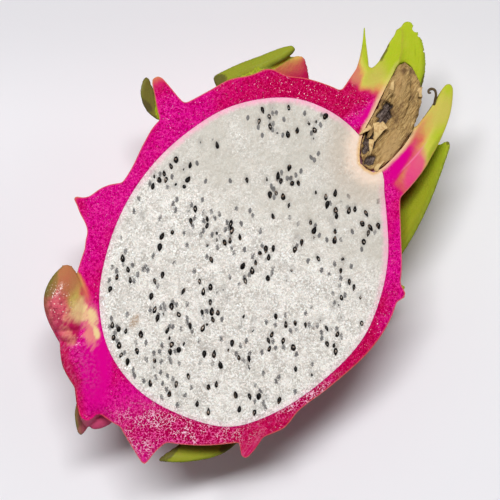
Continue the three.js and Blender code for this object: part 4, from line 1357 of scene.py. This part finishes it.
# %% Seed finish
f = Finish("black_seed", IOR=1.4, Specular_IOR_Level=0.2, Coat_Roughness=0.1)
where = f.place()
lumps = f.clouds(where, 0.9, 2)
# Painted glints: pale brown spots on the black coat.
shell_colour = f.mix(paint(12, 10, 11), paint(128, 104, 86), lumps.ramp(0.56, 0.68) * 0.8)
# Painted highlight: the pale spot on top of a seed, mixed into its colour.
painted_glint = (f.stored("painted_glint") + (f.clouds(where, 0.45, 2) - 0.5) * 1.2).ramp(0.42, 0.8)
f.set(Base_Color=f.mix(shell_colour, f.mix(paint(226, 218, 208), paint(150, 124, 104), lumps), painted_glint * 0.9))
f.set(Roughness=0.3 + lumps * 0.3)
f.set(Coat_Weight=lumps.ramp(0.5, 0.64) * 0.9)
f.set(Normal=f.bump(f.clouds(where, 0.3, 2), 0.06, 0.6))
f.cover(seeds)

# %% Dry flower finish
f = Finish("dry_flower_tissue", IOR=1.4)
along_x = f.place(scale=(0.16, 1, 1), turn=0.15)
where = f.place()
fibres = f.clouds(along_x, 0.4, 5, 0.7, 0.6)
hairs = f.clouds(f.place(scale=(0.1, 1.4, 1.4), turn=0.1), 0.22, 3)
patches = f.clouds(where, 3.2, 4)
rot_and_shade = f.stored("rot")
tissue = f.mix(paint(150, 114, 62), paint(206, 172, 112), fibres.ramp(0.34, 0.64))
tissue = f.mix(tissue, paint(226, 198, 146), fibres.ramp(0.54, 0.75) * (1 - patches.ramp(0.4, 0.6)) * 0.8)
tissue = f.mix(tissue, paint(104, 72, 46), patches.ramp(0.5, 0.7) * 0.7)
tissue = f.mix(tissue, paint(74, 52, 36), hairs.ramp(0.54, 0.7) * 0.8)
shell = (f.stored("shell") + (patches - 0.5) * 0.6).ramp(0.3, 0.9)
tissue = f.mix(tissue, f.mix(paint(204, 168, 112), paint(150, 112, 66), fibres.ramp(0.5, 0.7)), shell * 0.8)
dark = f.mix(paint(58, 42, 42), paint(158, 140, 130), hairs.ramp(0.48, 0.64) * 0.85)
# In the sunk hollows the tissue is painted dark: darker rotten tissue and painted shade, with grey fibres.
tissue = f.mix(tissue, dark, (rot_and_shade + (patches - 0.5) * 0.5).ramp(0.25, 0.6) * 0.95)
f.set(Base_Color=tissue)
f.set(Roughness=0.66 + (fibres - 0.5) * 0.4 - rot_and_shade * 0.25)
f.set(Normal=f.bump(hairs, 0.25, 0.9, under=f.bump(fibres, 0.28, 0.8)))
f.cover(flower)

# %% Papery scraps finish
f = Finish("papery_tissue", IOR=1.45)
where = f.place()
f.set(Base_Color=f.mix(paint(222, 190, 132), paint(176, 130, 78), f.clouds(where, 1.3, 4).ramp(0.45, 0.75)))
f.set(Roughness=0.6 + f.clouds(where, 0.6) * 0.2)
f.set(Normal=f.bump(f.clouds(where, 0.5, 4), 0.15, 0.8))
f.cover(scraps)

# %% Thread finish
f = Finish("dark_thread", IOR=1.45)
where = f.place()
f.set(Base_Color=f.mix(paint(60, 46, 30), paint(104, 84, 52), f.clouds(where, 0.8, 3)))
f.set(Roughness=0.55 + f.clouds(where, 0.6) * 0.2)
f.set(Normal=f.bump(f.clouds(where, 0.35, 3), 0.1, 0.8))
f.cover(thread)

# %% [markdown]
# ## Into place
#
# Millimetres become metres in the mesh itself, so that every object stays at the origin, unscaled,
# and its patterns don't slide. Angles sharper than 50 degrees stay sharp, such as the rim of the
# cut. A bevel on that rim would make it look like plastic.

# %% Put the pieces in place
SHARP = math.radians(50)
for piece in (rind, flesh, seeds, flower, scraps, thread):
    pick_only(piece)
    move_points(piece, points_of(piece) * 0.001)
    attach(piece, "root")
    bpy.ops.object.shade_smooth_by_angle(angle=SHARP)
    faces = sum(len(p.vertices) - 2 for p in piece.data.polygons)
    print(piece.name, faces, "triangles")
rind.name, flesh.name, flower.name = "fruit_rind", "fruit_flesh", "flower_tissue"
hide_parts("rind")
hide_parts("flesh")
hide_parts("flower_remains")

# %% [markdown]
# ## Floor, camera and light
#
# The camera looks almost straight down. One long window gives the shadow, which is dark under the
# fruit and soft further out. A sun lamp would give a hard edge, and a bright world would fill the
# shadow with grey, so the room is nearly dark and three weak walls of light fill the sides.

# %% Floor
FLOOR_SIZE = 4
pick_only()
bpy.ops.mesh.primitive_plane_add(size=FLOOR_SIZE, location=(0, 0, 0))
floor = bpy.context.object
floor.name = "floor"
f = Finish("pale_floor", Roughness=0.8, Specular_IOR_Level=0.1)
where = f.node("ShaderNodeVectorMath", {"operation": "DOT_PRODUCT"},
               {0: f.place(), 1: (0.8090, 0.5878, 0)}, "Value")
# Painted shade: the floor is painted darker towards the top of the view.
f.set(Base_Color=f.mix(paint(237, 236, 240), paint(222, 221, 225), where.ramp(45, 90)))
f.cover(floor)

# %% Camera
RIGHT = Vector((0.5878, -0.8090, 0))  # the view's right and up, on the fruit's own axes
UP = Vector((0.8090, 0.5878, 0))
TILT = math.radians(6)
AWAY, AIM = 0.55, Vector((0.00336, 0.00079, 0.043))
VIEW_WIDTH, SENSOR = 0.1491, 36  # metres across at the cut face, and the sensor's millimetres
view = (Vector((0, 0, 1)) * math.cos(TILT) - UP * math.sin(TILT)).normalized()
camera_data = bpy.data.cameras.new("camera")
camera_data.sensor_width = SENSOR
camera_data.lens = SENSOR / 2 / math.tan(math.atan(VIEW_WIDTH / 2 / AWAY))
camera = bpy.data.objects.new("camera", camera_data)
bpy.context.collection.objects.link(camera)
above = view.cross(RIGHT)
turned = Matrix((RIGHT, above, view)).transposed().to_4x4()
camera.matrix_world = Matrix.Translation(AIM + view * AWAY) @ turned
bpy.context.scene.camera = camera
print("lens", round(camera_data.lens, 1), "mm,", AWAY, "m from the cut face")


# %% Lights
def soft_light(name, towards, size, power):
    """`towards` is how far right, up and high the light hangs, in metres. It faces the fruit."""
    data = bpy.data.lights.new(name, "AREA")
    data.shape, data.energy = "RECTANGLE", power
    data.size, data.size_y = size
    lamp = bpy.data.objects.new(name, data)
    bpy.context.collection.objects.link(lamp)
    lamp.location = RIGHT * towards[0] + UP * towards[1] + Vector((0, 0, towards[2]))
    lamp.rotation_euler = (-lamp.location).to_track_quat("-Z", "Y").to_euler()
    print(name, power, "W")


soft_light("window", (-0.18, 0.55, 2.4), (1.5, 0.34), 57.5)
soft_light("far_wall", (0.0, 2.0, 1.6), (2.4, 2.4), 3)
soft_light("right_wall", (1.9, 0.1, 1.4), (1.6, 1.6), 6)
soft_light("left_wall", (-1.7, 0.2, 1.7), (1.6, 1.6), 5)

# %% A nearly dark room
ROOM_LIGHT = 0.02
world = bpy.data.worlds.new("room")
bpy.context.scene.world = world
world.use_nodes = True
background = world.node_tree.nodes["Background"]
background.inputs["Color"].default_value = (1, 1, 1, 1)
background.inputs["Strength"].default_value = ROOM_LIGHT
bpy.context.scene.view_settings.view_transform = "Standard"
bpy.context.scene.view_settings.look = "None"
print("room light", ROOM_LIGHT)

# %% Finish
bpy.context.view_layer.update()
print("made in", round(time.time() - started, 1), "s")
